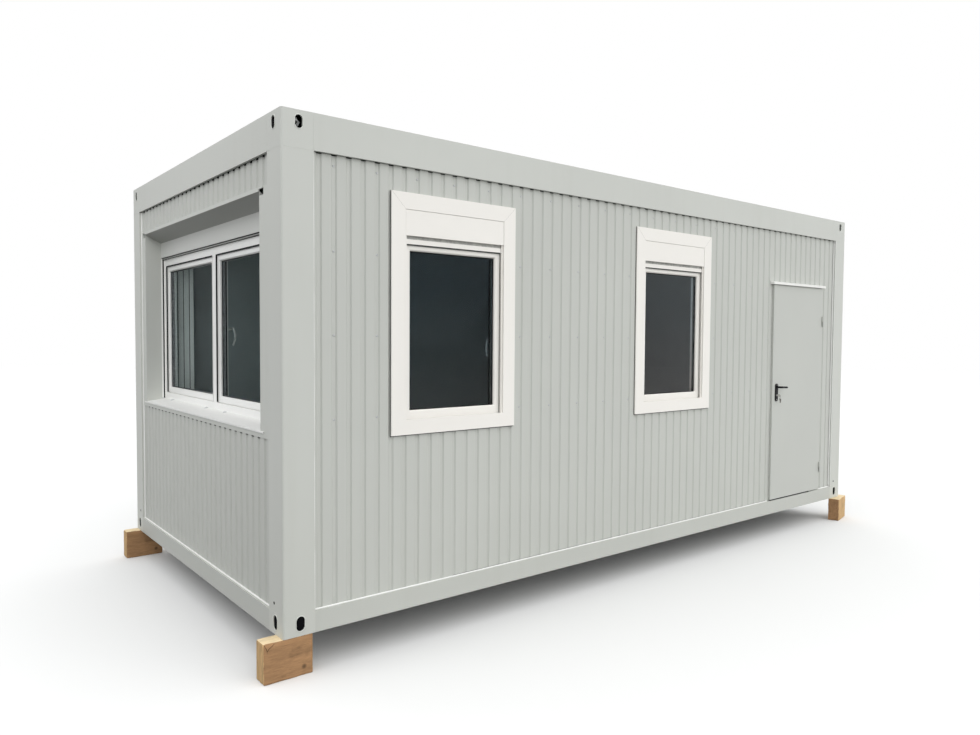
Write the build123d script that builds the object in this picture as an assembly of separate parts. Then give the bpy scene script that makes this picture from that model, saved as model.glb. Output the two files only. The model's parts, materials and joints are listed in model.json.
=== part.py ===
from build123d import *
import math
import os

# A 20-foot long, 3 m wide site cabin on four timber blocks. All sizes are in millimetres.
# X runs along the long sides, Y from the door side to the rear, Z up from the ground.
# Each wall is drawn in a facade frame: u to the right as seen from outside, e inwards from
# the outer face of the steel frame, and z up from the underside of the frame.

# Overall
cabin_length = 6058
cabin_width = 2990
cabin_height = 2820
block_height = 220

# Steel frame
post_width = 185
post_sheet = 5
corner_radius = 12
base_rail_height = 120
roof_rail_height = 200
rail_sheet = 4
gutter_drop = 50
roof_flange = 90

# Corner castings, with slots given as height by width, or length by width in the plan
casting_sheet = 10
base_slot = (82, 50)
roof_slot = (72, 44)
slot_from_corner = 100
base_slot_height = 67
roof_slot_drop = 61
plan_slot = (124, 64)

# Walls and their ribbed skin
cladding_inset = 20
rib_pitch = 91.1
rib_floor = 20
rib_slope = 8
rib_depth = 8
long_rib_start = 20
end_rib_start = 48
skin_backing = 1.5
wall_depth = post_width
gable_depth = 340

# Floor, ceiling and roof
deck_thickness = 25
joist_width = 50
joist_sheet = 3
joist_count = 11
ceiling_thickness = 20
seam_count = 9
seam_width = 18
seam_height = 22
seam_end_gap = 60

# Windows in the long side
left_window_from_corner = 1146
right_window_from_door = 1443
trim_outer = (945, 1430)
trim_opening = (750, 1243)
trim_drop = 147
trim_opening_drop = 97
trim_front = 6
window_margin = 46
frame_front = 38
frame_thickness = 70
frame_head = 47
guide_width = 13
guide_front = 18
guide_groove_depth = 9
sash_bar = 38
sash_thickness = 62
sash_gap = 0.3
bead_slope = 7
glass_setback = 18
glass_thickness = 24
glass_edge = 12
shutter_cover_height = 153
shutter_cover_front = 8
shutter_cover_gap = 2
shutter_box_depth = 150
curtain_thickness = 8
curtain_front = 29
curtain_side_gap = 1
curtain_gap = 20
end_slat_height = 28
end_slat_thickness = 14
slat_front = 22

# Niche and window in the left end
niche_from_corner = 313
niche_shift = -25
niche_height = 1317
niche_drop = 190
flange_post_gap = 2
niche_sheet = 3
niche_back = 163
lip_front = 12
lip_height = 22
lip_overhang = 60
lip_fold = 10
notch_drop = 24
soffit_depth = 134
soffit_drop = 62
guide_pocket = 30
guide_slot_front = 12
guide_slot_width = 11
guide_slot_depth = 25
gable_frame_drop = 205
gable_slot = 25
gable_slot_depth = 30
gable_slat_gap = 15
gable_frame_side = 37
gable_frame_rails = (47, 40)
gable_frame_thickness = 70
mullion_width = 64
gable_sash_bar = 47
gable_sash_setback = 10
gable_sash_thickness = 58
gable_rebate = (5, 7)
sill_fall = 25
sill_nose = 9
sill_overhang = 50
sill_drip = 36

# Door
door_width = 875
door_height = 1993
door_from_corner = 1305
door_bottom = 132
door_lip = 15
door_thickness = 60
door_rebate = 24
door_clearance = 5
frame_border = 34
frame_rebate = 15
threshold_height = 5
drip_height = 28
drip_front = 18
drip_slope = 8

# Hinges
hinge_radius = 8
hinge_knuckle = 50
hinge_gap = 0.4
hinge_offset = 2
hinge_web = 3
hinge_pin_radius = 4
hinge_pin_top_gap = 4
hinge_lap = 6
hinge_heights = (300, 1750)

# Door furniture
handle_from_edge = 65
plate_width = 42
plate_bottom = 1048
plate_height = 165
plate_thickness = 8
lever_height = 1180
lever_length = 120
lever_reach = 38
lever_neck_radius = 8
lever_grip_height = 20
lever_grip_depth = 12
lock_height = 1104
lock_radius = 8.5
lock_proud = 3
fit_gap = 0.3
key_thickness = 2.5
key_shank = 8
key_bow_radius = 12

# Timber blocks: how far they reach past the end and the long side, and the turn of two
block_length = 280
block_depth = 105
block_overhang = 108
turned_block_angle = 14
turned_block_reach = 90

# Shared places that follow from the sizes above
core_depth = cladding_inset + rib_depth + skin_backing
half_length = cabin_length / 2
half_width = cabin_width / 2
long_span = (-half_length + post_width, half_length - post_width)
end_span = (-half_width + post_width, half_width - post_width)
roof_frame_bottom = cabin_height - roof_rail_height
wall_height = (base_rail_height, roof_frame_bottom)
corner_signs = ((-1, -1), (1, -1), (1, 1), (-1, 1))
cut_margin = 1

# Facade frames
frame = Pos(0, 0, block_height)
front = Pos(0, -half_width, block_height)
rear = Pos(0, half_width, block_height) * Rot(0, 0, 180)
right = Pos(half_length, 0, block_height) * Rot(0, 0, 90)
left = Pos(-half_length, 0, block_height) * Rot(0, 0, -90)


def slab(u, e, z):
    """A plain block between pairs of limits."""
    size = Box(u[1] - u[0], e[1] - e[0], z[1] - z[0])
    return Pos((u[0] + u[1]) / 2, (e[0] + e[1]) / 2, (z[0] + z[1]) / 2) * size


def around(centre, size):
    """The limits of a size laid out on both sides of a centre."""
    return (centre - size / 2, centre + size / 2)


def grown(limits, amount):
    """Limits moved outwards by an amount."""
    return (limits[0] - amount, limits[1] + amount)


def ring(outer_u, outer_z, inner_u, inner_z, e):
    """A flat frame with a rectangular hole."""
    return slab(outer_u, e, outer_z) - slab(inner_u, grown(e, cut_margin), inner_z)


def section_along_u(points, span):
    """Extrude a section, given as (e, z) points, along u."""
    face = make_face(Polyline([(0, e, z) for e, z in points], close=True))
    return Pos(span[0], 0, 0) * extrude(face, span[1] - span[0], dir=(1, 0, 0))


def upright(radius, height):
    """A round bar that stands on the origin."""
    return Cylinder(radius, height, align=(Align.CENTER, Align.CENTER, Align.MIN))


def save(shapes, node):
    """Write one node, as one solid or as several that do not touch."""
    solids = [solid for shape in shapes for solid in shape.solids()]
    whole = solids[0] if len(solids) == 1 else Compound(solids)
    export_step(whole, f"parts/{node}.step")


os.makedirs("parts", exist_ok=True)


# Corner posts and hollow corner castings
def at_corners(piece):
    """Four mirrored copies of a piece that is drawn inwards from the front left corner."""
    copies = []
    for sign_x, sign_y in corner_signs:
        copy = piece if sign_x < 0 else mirror(piece, about=Plane.YZ)
        copy = copy if sign_y < 0 else mirror(copy, about=Plane.XZ)
        copies.append(Pos(sign_x * half_length, sign_y * half_width, block_height) * copy)
    return copies


def corner_column(z):
    """A square column whose outer upright edge is rounded."""
    column = slab((0, post_width), (0, post_width), z)
    edges = column.edges().filter_by(Axis.Z)
    outer_edge = edges.sort_by(lambda edge: edge.center().X + edge.center().Y)[0]
    return fillet(outer_edge, corner_radius)


def corner_post():
    """A closed folded post between the base and roof castings."""
    inside = (post_sheet, post_width - post_sheet)
    return corner_column(wall_height) - slab(inside, inside, wall_height)


def casting(z, slot_size, slot_centre, open_face):
    """A hollow corner casting with slots in its outer faces and in its top or bottom."""
    inside = (casting_sheet, post_width - casting_sheet)
    body = corner_column(z) - slab(inside, inside, grown(z, -casting_sheet))
    outline = Rot(90, 0, 0) * SlotOverall(slot_size[0], slot_size[1], rotation=90)
    side_slot = extrude(outline, casting_sheet + cut_margin, both=True)
    body -= Pos(slot_from_corner, 0, slot_centre) * side_slot
    body -= Pos(0, slot_from_corner, slot_centre) * Rot(0, 0, 90) * side_slot
    plan = extrude(SlotOverall(plan_slot[0], plan_slot[1]), casting_sheet + cut_margin, both=True)
    return body - Pos(post_width / 2, post_width / 2, open_face) * plan


base_rail_z = (0, base_rail_height)
roof_rail_z = (roof_frame_bottom, cabin_height)
base_casting = casting(base_rail_z, base_slot, base_slot_height, 0)
roof_casting = casting(roof_rail_z, roof_slot, cabin_height - roof_slot_drop, cabin_height)
save(at_corners(corner_post()), "corner_posts")
save(at_corners(base_casting), "base_corner_castings")
save(at_corners(roof_casting), "roof_corner_castings")

# Rails: plain channels at the base, and folded ones with a gutter at the roof
gutter_z = cabin_height - gutter_drop


def base_rail(span):
    """A channel with its web at the outer face."""
    outer = slab(span, (0, post_width), base_rail_z)
    hollow_e = (rail_sheet, post_width + cut_margin)
    return outer - slab(span, hollow_e, grown(base_rail_z, -rail_sheet))


def roof_rail(span):
    """A folded rail: a web, a top flange, a lip down to the gutter and a bottom flange."""
    points = [
        (0, roof_frame_bottom),
        (0, cabin_height),
        (roof_flange, cabin_height),
        (roof_flange, gutter_z),
        (post_width, gutter_z),
        (post_width, gutter_z - rail_sheet),
        (roof_flange - rail_sheet, gutter_z - rail_sheet),
        (roof_flange - rail_sheet, cabin_height - rail_sheet),
        (rail_sheet, cabin_height - rail_sheet),
        (rail_sheet, roof_frame_bottom + rail_sheet),
        (post_width, roof_frame_bottom + rail_sheet),
        (post_width, roof_frame_bottom),
    ]
    return section_along_u(points, span)


for name, rail in (("base", base_rail), ("roof", roof_rail)):
    save([front * rail(long_span), rear * rail(long_span)], f"{name}_side_rails")
    save([left * rail(end_span), right * rail(end_span)], f"{name}_end_rails")

# Floor: joists across the base frame with a deck on them
deck_z = (base_rail_height - deck_thickness, base_rail_height)
joist_z = (rail_sheet, deck_z[0])
joist_span = (-half_width + rail_sheet, half_width - rail_sheet)
joist_step = (long_span[1] - long_span[0]) / (joist_count + 1)


def joist(centre):
    """A channel joist between the webs of the two side rails."""
    joist_x = around(centre, joist_width)
    hollow_x = (joist_x[0] + joist_sheet, joist_x[1] + cut_margin)
    return slab(joist_x, joist_span, joist_z) - slab(hollow_x, joist_span, grown(joist_z, -joist_sheet))


joists = [joist(long_span[0] + joist_step * (index + 1)) for index in range(joist_count)]
save([frame * one for one in joists], "floor_joists")
save([frame * slab(long_span, end_span, deck_z)], "floor_deck")

# Ceiling between the walls, and a seamed roof sheet between the gutters
room_x = (-half_length + gable_depth, half_length - wall_depth)
room_y = (-half_width + wall_depth, half_width - wall_depth)
ceiling_z = (roof_frame_bottom - ceiling_thickness, roof_frame_bottom)
save([frame * slab(room_x, room_y, ceiling_z)], "ceiling_panel")


def roof_sheet():
    """The sheet, with standing seams across it."""
    sheet = slab(long_span, end_span, (gutter_z - rail_sheet, gutter_z))
    seam_step = (long_span[1] - long_span[0]) / seam_count
    seam_y = grown(end_span, -seam_end_gap)
    for index in range(1, seam_count):
        seam_x = around(long_span[0] + seam_step * index, seam_width)
        sheet += slab(seam_x, seam_y, (gutter_z, gutter_z + seam_height))
    return sheet


save([frame * roof_sheet()], "roof_sheet")

# Openings in the long side: the two windows and the door
door_left = half_length - door_from_corner
window_centres = {
    "window_left": -half_length + left_window_from_corner,
    "window_right": door_left - right_window_from_door,
}
trim_top = roof_frame_bottom - trim_drop
trim_bottom = trim_top - trim_outer[1]
opening_top = trim_top - trim_opening_drop
trim_opening_bottom = opening_top - trim_opening[1]
window_hole_z = (trim_opening_bottom - window_margin, opening_top + window_margin)
window_hole_width = trim_opening[0] + 2 * window_margin
window_holes = [around(centre, window_hole_width) for centre in window_centres.values()]
door_span = (door_left, door_left + door_width)
door_z = (door_bottom, door_bottom + door_height)
door_frame_span = grown(door_span, frame_border)
drip_bottom = door_z[1] + door_clearance
door_frame_top = drip_bottom + drip_height

# Long side walls: full-height piers, and panels under and over the openings
wall_e = (core_depth, wall_depth)
pier_edges = [long_span[0]]
for hole in window_holes + [door_frame_span]:
    pier_edges += list(hole)
pier_edges.append(long_span[1])
piers = [slab(pier_edges[i:i + 2], wall_e, wall_height) for i in range(0, len(pier_edges), 2)]
below_windows = [slab(hole, wall_e, (wall_height[0], window_hole_z[0])) for hole in window_holes]
above_windows = [slab(hole, wall_e, (window_hole_z[1], wall_height[1])) for hole in window_holes]
above_door = slab(door_frame_span, wall_e, (door_frame_top, wall_height[1]))
save([front * pier for pier in piers], "front_wall_piers")
save([front * panel for panel in below_windows + above_windows + [above_door]], "front_wall_spandrels")
save([rear * slab(long_span, wall_e, wall_height)], "rear_wall")
save([right * slab(end_span, wall_e, wall_height)], "right_wall")

# Left end wall around the niche, which sits a little to the rear of the middle
niche_u = around(niche_shift, 2 * (half_width - niche_from_corner))
niche_top = roof_frame_bottom - niche_drop
niche_bottom = niche_top - niche_height
lip_top = niche_top + lip_height
pocket_u = grown(niche_u, guide_pocket)
gable_e = (core_depth, gable_depth)
sill_front_height = niche_bottom - sill_fall
sill_slope = sill_fall / (niche_back - lip_front)


def sill_underside(e):
    """Height of the sloping sill's underside."""
    return sill_front_height + sill_slope * (e - lip_front) - niche_sheet


gable_piers = [
    slab((end_span[0], pocket_u[0]), gable_e, wall_height),
    slab((pocket_u[1], end_span[1]), gable_e, wall_height),
]
below_niche = section_along_u(
    [
        (gable_e[0], wall_height[0]),
        (gable_e[1], wall_height[0]),
        (gable_e[1], sill_underside(niche_back)),
        (niche_back, sill_underside(niche_back)),
        (gable_e[0], sill_underside(gable_e[0])),
    ],
    pocket_u,
)
above_niche = slab(pocket_u, gable_e, (lip_top, wall_height[1]))
save([left * pier for pier in gable_piers], "left_wall_piers")
save([left * below_niche, left * above_niche], "left_wall_spandrels")


# Ribbed cladding: the outer skin with the foam that fills its ribs, on the flat wall core
def ribbed_skin(span, first_groove, z):
    """A skin with an upright groove at each pitch, the first one at a distance from its left edge."""
    groove = rib_floor + 2 * rib_slope
    front_line = [(span[0], 0)]
    start = span[0] + first_groove
    while start < span[1]:
        steps = [
            (start, 0),
            (start + rib_slope, rib_depth),
            (start + rib_slope + rib_floor, rib_depth),
            (start + groove, 0),
        ]
        front_line += [point for point in steps if point[0] < span[1]]
        start += rib_pitch
    front_line.append((span[1], front_line[-1][1]))
    outline = [(u, cladding_inset + depth, z[0]) for u, depth in front_line]
    outline += [(span[1], core_depth, z[0]), (span[0], core_depth, z[0])]
    face = make_face(Polyline(outline, close=True))
    return extrude(face, z[1] - z[0], dir=(0, 0, 1))


long_skin = ribbed_skin(long_span, long_rib_start, wall_height)
end_skin = ribbed_skin(end_span, end_rib_start, wall_height)
skin_e = (0, core_depth + cut_margin)
front_skin = long_skin
for hole in window_holes:
    front_skin -= slab(hole, skin_e, window_hole_z)
front_skin -= slab(door_frame_span, skin_e, (0, door_frame_top))
niche_cut_z = (sill_underside(cladding_inset), lip_top)
left_skin = end_skin - slab(grown(niche_u, lip_overhang), skin_e, niche_cut_z)
save([front * front_skin], "front_cladding")
save([rear * long_skin], "rear_cladding")
save([right * end_skin], "right_cladding")
save([left * left_skin], "left_cladding")


# Windows in the long side
def glazed_sash(u, z, bar, e_front, thickness):
    """A sash with a sloping edge round its glass and a pocket for it, and the glass itself."""
    opening_u = grown(u, -bar)
    opening_z = grown(z, -bar)
    glass_e = (e_front + glass_setback, e_front + glass_setback + glass_thickness)
    glass = slab(grown(opening_u, glass_edge), glass_e, grown(opening_z, glass_edge))
    width = opening_u[1] - opening_u[0] + 2 * bead_slope
    height = opening_z[1] - opening_z[0] + 2 * bead_slope
    opening = Rot(-90, 0, 0) * Rectangle(width, height)
    centre = Pos(sum(opening_u) / 2, e_front, sum(opening_z) / 2)
    slope = centre * extrude(opening, bead_slope, dir=(0, 1, 0), taper=45)
    sash = ring(u, z, opening_u, opening_z, (e_front, e_front + thickness))
    return sash - slope - glass, glass


def window_trim(centre):
    """The flat white surround that lies on the crests of the cladding."""
    outer_u = around(centre, trim_outer[0])
    inner_u = around(centre, trim_opening[0])
    face_e = (trim_front, cladding_inset)
    return ring(outer_u, (trim_bottom, trim_top), inner_u, (trim_opening_bottom, opening_top), face_e)


shutter_bottom = opening_top - shutter_cover_height
guide_z = (trim_opening_bottom, shutter_bottom)
sash_hole_z = (guide_z[0] + guide_width, guide_z[1] - frame_head)
slat_e = (slat_front, slat_front + end_slat_thickness)
groove_e = grown(slat_e, curtain_side_gap)


def window_frame(centre):
    """The fixed frame with a grooved shutter guide down each side."""
    outer_u = around(centre, window_hole_width)
    outer_z = (window_hole_z[0], shutter_bottom)
    inner_u = around(centre, trim_opening[0] - 2 * guide_width)
    body = ring(outer_u, outer_z, inner_u, sash_hole_z, (frame_front, frame_front + frame_thickness))
    for side in (-1, 1):
        edge = centre + side * trim_opening[0] / 2
        inner_edge = edge - side * guide_width
        body += slab(sorted((edge, inner_edge)), (guide_front, frame_front), guide_z)
        groove_u = sorted((inner_edge - side * cut_margin, inner_edge + side * guide_groove_depth))
        body -= slab(groove_u, groove_e, guide_z)
    return body


def window_shutter(centre):
    """The shutter box with its flush cover, and the end slat of the rolled-up curtain."""
    box_u = around(centre, window_hole_width)
    box = slab(box_u, (core_depth, shutter_box_depth), (shutter_bottom, window_hole_z[1]))
    cover_u = grown(around(centre, trim_opening[0]), -shutter_cover_gap)
    cover_z = (shutter_bottom, opening_top - shutter_cover_gap)
    box += slab(cover_u, (shutter_cover_front, core_depth), cover_z)
    curtain_u = grown(around(centre, trim_opening[0] - 2 * guide_width), -curtain_side_gap)
    curtain_z = (shutter_bottom - curtain_gap, shutter_bottom)
    box += slab(curtain_u, (curtain_front, curtain_front + curtain_thickness), curtain_z)
    return box + slab(curtain_u, slat_e, (curtain_z[0] - end_slat_height, curtain_z[0]))


for name, centre in window_centres.items():
    sash_u = grown(around(centre, trim_opening[0] - 2 * guide_width), -sash_gap)
    sash_z = grown(sash_hole_z, -sash_gap)
    sash, glass = glazed_sash(sash_u, sash_z, sash_bar, frame_front, sash_thickness)
    save([front * window_trim(centre)], f"{name}_trim")
    save([front * window_frame(centre)], f"{name}_frame")
    save([front * window_shutter(centre)], f"{name}_shutter")
    save([front * sash], f"{name}_sash")
    save([front * glass], f"{name}_glass")

# Niche lining: folded sheet round the niche, with flanges that lie on the cladding
soffit_back_z = niche_top - soffit_drop
soffit_slope = soffit_drop / (soffit_depth - lip_front)
flange_e = (cladding_inset - niche_sheet, cladding_inset)
flange_span = grown(end_span, -flange_post_gap)
drip_edge_z = sill_front_height - sill_drip
lip_e = (lip_front, cladding_inset)


def soffit():
    """The lip over the niche, whose top fold runs on past its sides, and the sloping sheet."""
    lip = slab(grown(niche_u, niche_sheet), lip_e, (niche_top, lip_top))
    fold = slab(grown(niche_u, lip_overhang), lip_e, (lip_top - lip_fold, lip_top))
    slope = section_along_u(
        [
            (lip_front, niche_top),
            (soffit_depth, soffit_back_z),
            (soffit_depth, soffit_back_z + niche_sheet),
            (lip_front, niche_top + niche_sheet),
        ],
        grown(niche_u, niche_sheet),
    )
    return lip + fold + slope


def jamb(edge, outer_edge):
    """One side sheet of the niche with its facade flange, notched under the end of the lip."""
    side = math.copysign(1, outer_edge - edge)
    sheet_edge = edge + side * niche_sheet
    sheet = section_along_u(
        [
            (flange_e[0], sill_underside(flange_e[0])),
            (soffit_depth, sill_underside(soffit_depth)),
            (soffit_depth, soffit_back_z),
            (flange_e[0], niche_top - soffit_slope * (flange_e[0] - lip_front)),
        ],
        sorted((edge, sheet_edge)),
    )
    flange = slab(sorted((edge, outer_edge)), flange_e, (drip_edge_z, lip_top))
    notch_u = sorted((sheet_edge, edge + side * lip_overhang))
    notch_z = (niche_top - notch_drop, lip_top - lip_fold)
    return sheet + (flange - slab(notch_u, grown(flange_e, cut_margin), notch_z))


def apron():
    """The flange under the sill."""
    section = [
        (flange_e[0], drip_edge_z),
        (flange_e[1], drip_edge_z),
        (flange_e[1], sill_underside(flange_e[1])),
        (flange_e[0], sill_underside(flange_e[0])),
    ]
    return section_along_u(section, niche_u)


jambs = jamb(niche_u[0], flange_span[0]) + jamb(niche_u[1], flange_span[1])
save([left * (soffit() + jambs + apron())], "niche_lining")


# Sill: a sloping sheet with a small turned-down nose that runs on past the niche
def sill_sheet(back, span):
    """The sheet from its nose to a depth."""
    nose_back = lip_front + niche_sheet
    section = [
        (back, sill_underside(back) + niche_sheet),
        (lip_front, sill_front_height),
        (lip_front, sill_front_height - sill_nose),
        (nose_back, sill_front_height - sill_nose),
        (nose_back, sill_underside(nose_back)),
        (back, sill_underside(back)),
    ]
    return section_along_u(section, span)


sill = sill_sheet(niche_back, niche_u) + sill_sheet(flange_e[0], grown(niche_u, sill_overhang))
save([left * sill], "niche_sill")

# Shutter box and guides of the niche window
gable_frame_top = niche_top - gable_frame_drop
shutter_box_z = (gable_frame_top + gable_slot, lip_top)
shutter_box = slab(pocket_u, (soffit_depth, gable_depth), shutter_box_z)
slot_front = soffit_depth + guide_slot_front
slot_e = (slot_front, slot_front + guide_slot_width)
slat_u = grown(niche_u, -curtain_side_gap)
slat_z = (gable_frame_top + gable_slat_gap, shutter_box_z[0])
shutter_box += slab(slat_u, grown(slot_e, -curtain_side_gap), slat_z)
guide_tall = (niche_bottom, shutter_box_z[0])


def shutter_guide(edge, side):
    """A guide that lies flush in the side of the niche, open towards the other one."""
    guide_u = sorted((edge, edge + side * guide_pocket))
    slot_u = sorted((edge - side * cut_margin, edge + side * guide_slot_depth))
    return slab(guide_u, (soffit_depth, niche_back), guide_tall) - slab(slot_u, slot_e, guide_tall)


save([left * shutter_box], "gable_shutter_box")
save([left * shutter_guide(niche_u[0], -1), left * shutter_guide(niche_u[1], 1)], "gable_shutter_guides")

# Niche window: a fixed frame with a mullion, and two sashes that sit back in it with a rebate
gable_frame_back = niche_back + gable_frame_thickness
gable_frame = slab(pocket_u, (niche_back, gable_frame_back), (niche_bottom, gable_frame_top))
head_e = (niche_back + gable_slot_depth, gable_frame_back)
gable_frame += slab(pocket_u, head_e, (gable_frame_top, shutter_box_z[0]))
gable_hole_z = (niche_bottom + gable_frame_rails[0], gable_frame_top - gable_frame_rails[1])
gable_hole_e = grown((niche_back, gable_frame_back), cut_margin)
sash_front = niche_back + gable_sash_setback
sashes = []
panes = []
for side, edge in zip((-1, 1), niche_u):
    hole_u = sorted((niche_shift + side * mullion_width / 2, edge - side * gable_frame_side))
    gable_frame -= slab(hole_u, gable_hole_e, gable_hole_z)
    sash_u = grown(hole_u, -sash_gap)
    sash_z = grown(gable_hole_z, -sash_gap)
    sash, glass = glazed_sash(sash_u, sash_z, gable_sash_bar, sash_front, gable_sash_thickness)
    rebate_e = (sash_front - cut_margin, sash_front + gable_rebate[1])
    face_u = grown(sash_u, -gable_rebate[0])
    face_z = grown(sash_z, -gable_rebate[0])
    sash -= ring(grown(sash_u, cut_margin), grown(sash_z, cut_margin), face_u, face_z, rebate_e)
    sashes.append(left * sash)
    panes.append(left * glass)
save([left * gable_frame], "gable_window_frame")
save(sashes, "gable_window_sashes")
save(panes, "gable_window_glass")

# Door frame: a border level with the cladding, a rebate for the leaf and a stop behind it
rebate_span = grown(door_span, -frame_rebate)
clear_span = grown(rebate_span, -frame_rebate)
rebate_top = door_z[1] - frame_rebate
clear_top = rebate_top - frame_rebate
stop_front = door_thickness + door_clearance
threshold_top = base_rail_height + threshold_height
door_frame = slab(door_frame_span, (cladding_inset, wall_depth), (base_rail_height, door_frame_top))
door_frame -= slab(rebate_span, (0, stop_front), (threshold_top, rebate_top))
door_frame -= slab(clear_span, (0, wall_depth + cut_margin), (threshold_top, clear_top))

# Door leaf: a lip over the frame and a body in the rebate
body_span = grown(door_span, -door_rebate)
door_leaf = slab(door_span, (0, door_lip), door_z)
door_leaf += slab(body_span, (door_lip, door_thickness), (door_z[0], door_z[1] - door_rebate))

# Hinges: upper knuckles on the leaf turn on pins that stand in the frame's lower knuckles
hinge_u = door_span[1] + hinge_radius + hinge_offset
hinge_e = -hinge_radius - hinge_offset
for height in hinge_heights:
    lower_z = (height, height + hinge_knuckle)
    upper_z = (lower_z[1] + hinge_gap, lower_z[1] + hinge_gap + hinge_knuckle)
    pin_length = upper_z[1] - height - hinge_pin_top_gap
    axis_low = Pos(hinge_u, hinge_e, lower_z[0])
    axis_high = Pos(hinge_u, hinge_e, upper_z[0])
    door_frame += axis_low * upright(hinge_radius, hinge_knuckle)
    door_frame += slab(around(hinge_u, hinge_web), (hinge_e, cladding_inset), lower_z)
    door_frame += axis_low * upright(hinge_pin_radius, pin_length)
    plate_u = (door_span[1] - hinge_lap, hinge_u)
    web_u = (door_span[1] - hinge_lap, door_span[1] - hinge_lap + hinge_web)
    door_leaf += axis_high * upright(hinge_radius, hinge_knuckle)
    door_leaf += slab(plate_u, (hinge_e - hinge_web, hinge_e), upper_z)
    door_leaf += slab(web_u, (hinge_e, 0), upper_z)
    bore_depth = hinge_knuckle - hinge_pin_top_gap / 2
    door_leaf -= axis_high * upright(hinge_pin_radius + hinge_gap, bore_depth)

# Drip flashing over the door, with a sloping top
drip = section_along_u(
    [
        (cladding_inset, drip_bottom),
        (-drip_front, drip_bottom),
        (-drip_front, door_frame_top - drip_slope),
        (cladding_inset, door_frame_top),
    ],
    door_frame_span,
)

# Handle plates with rounded ends, the through lever and the lock cylinder with its key
handle_u = door_left + handle_from_edge
plate_e = ((-plate_thickness, 0), (door_thickness, door_thickness + plate_thickness))


def across(radius, height, e):
    """A round bar along e on the handle's line."""
    bar = Cylinder(radius, e[1] - e[0], rotation=(90, 0, 0))
    return Pos(handle_u, (e[0] + e[1]) / 2, height) * bar


def handle_plate(e):
    """One upright plate."""
    outline = Rot(-90, 0, 0) * SlotOverall(plate_height, plate_width, rotation=90)
    place = Pos(handle_u, e[0], plate_bottom + plate_height / 2)
    return place * extrude(outline, e[1] - e[0], dir=(0, 1, 0))


def lever():
    """A round neck through the leaf with a grip at each end, rounded at both ends."""
    outer_e = plate_e[0][0] - lever_reach
    inner_e = plate_e[1][1] + lever_reach
    piece = across(lever_neck_radius, lever_height, (outer_e, inner_e))
    outline = Rot(-90, 0, 0) * SlotOverall(lever_length, lever_grip_height)
    grip_u = handle_u - lever_grip_height / 2 + lever_length / 2
    for e in (outer_e - lever_grip_depth, inner_e):
        piece += Pos(grip_u, e, lever_height) * extrude(outline, lever_grip_depth, dir=(0, 1, 0))
    return piece


def key():
    """A key that stands in the cylinder, with a round bow."""
    face_e = plate_e[0][0] - lock_proud
    bow_e = face_e - key_shank - key_bow_radius
    shank = slab(around(0, key_thickness), (bow_e, face_e), around(0, key_shank))
    bow = Cylinder(key_bow_radius, key_thickness, rotation=(0, 90, 0))
    return Pos(handle_u, 0, lock_height) * (shank + Pos(0, bow_e, 0) * bow)


through_e = (plate_e[0][0], plate_e[1][1])
neck_hole = across(lever_neck_radius + fit_gap, lever_height, grown(through_e, cut_margin))
lock_hole = across(lock_radius + fit_gap, lock_height, grown(through_e, cut_margin))
plates = [handle_plate(e) - neck_hole - lock_hole for e in plate_e]
door_leaf -= neck_hole + lock_hole
lock = across(lock_radius, lock_height, grown(through_e, lock_proud)) + key()

save([front * door_frame], "door_frame")
save([front * door_leaf], "door_leaf")
save([front * drip], "door_drip")
save([front * plate for plate in plates], "door_handle_plates")
save([front * lever()], "door_lever")
save([front * lock], "door_lock")

# Timber blocks: squared at the left, and turned at the right with a corner out past the long side
block = Box(block_length, block_depth, block_height, align=(Align.CENTER, Align.CENTER, Align.MIN))


def placed_block(sign_x, sign_y, angle, reach):
    """A block turned about its middle, whose corners reach past the end and the long side."""
    turn = math.radians(angle)
    half_x = (block_length * math.cos(turn) + block_depth * math.sin(turn)) / 2
    half_y = (block_length * math.sin(turn) + block_depth * math.cos(turn)) / 2
    centre_x = half_length + block_overhang - half_x
    centre_y = half_width + reach - half_y
    return Pos(sign_x * centre_x, sign_y * centre_y, 0) * Rot(0, 0, -sign_y * angle) * block


blocks = [placed_block(-1, sign_y, 0, 0) for sign_y in (-1, 1)]
blocks += [placed_block(1, sign_y, turned_block_angle, turned_block_reach) for sign_y in (-1, 1)]
save(blocks, "timber_blocks")
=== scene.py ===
import json
import math

import bmesh
import bpy
from mathutils import Matrix, Vector, noise


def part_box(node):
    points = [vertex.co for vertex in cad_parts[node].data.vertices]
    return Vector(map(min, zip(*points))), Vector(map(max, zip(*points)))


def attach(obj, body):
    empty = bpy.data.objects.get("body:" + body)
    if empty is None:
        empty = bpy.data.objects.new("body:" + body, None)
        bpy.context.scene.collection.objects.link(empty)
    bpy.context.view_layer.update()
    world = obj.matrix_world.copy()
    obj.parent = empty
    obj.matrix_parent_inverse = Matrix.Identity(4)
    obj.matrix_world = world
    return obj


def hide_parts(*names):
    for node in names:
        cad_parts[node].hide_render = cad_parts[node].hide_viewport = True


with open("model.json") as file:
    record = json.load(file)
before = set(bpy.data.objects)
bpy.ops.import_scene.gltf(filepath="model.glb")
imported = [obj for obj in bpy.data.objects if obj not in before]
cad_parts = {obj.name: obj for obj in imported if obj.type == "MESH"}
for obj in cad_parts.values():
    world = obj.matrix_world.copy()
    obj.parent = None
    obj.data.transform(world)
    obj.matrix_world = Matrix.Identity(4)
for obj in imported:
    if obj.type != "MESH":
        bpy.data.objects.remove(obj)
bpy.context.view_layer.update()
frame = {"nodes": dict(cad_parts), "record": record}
nodes = frame["nodes"]

# The photograph's camera, fitted to the cabin's corners
IMAGE_WIDTH = 980
FOCAL_PIXELS = 751.24
CAMERA_PLACE = (-4.6493, -5.261, 1.8473)
CAMERA_YAW = 0.6768
CAMERA_PITCH = -0.0405
CAMERA_ROLL = 0.0065
SENSOR_WIDTH = 36

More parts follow.
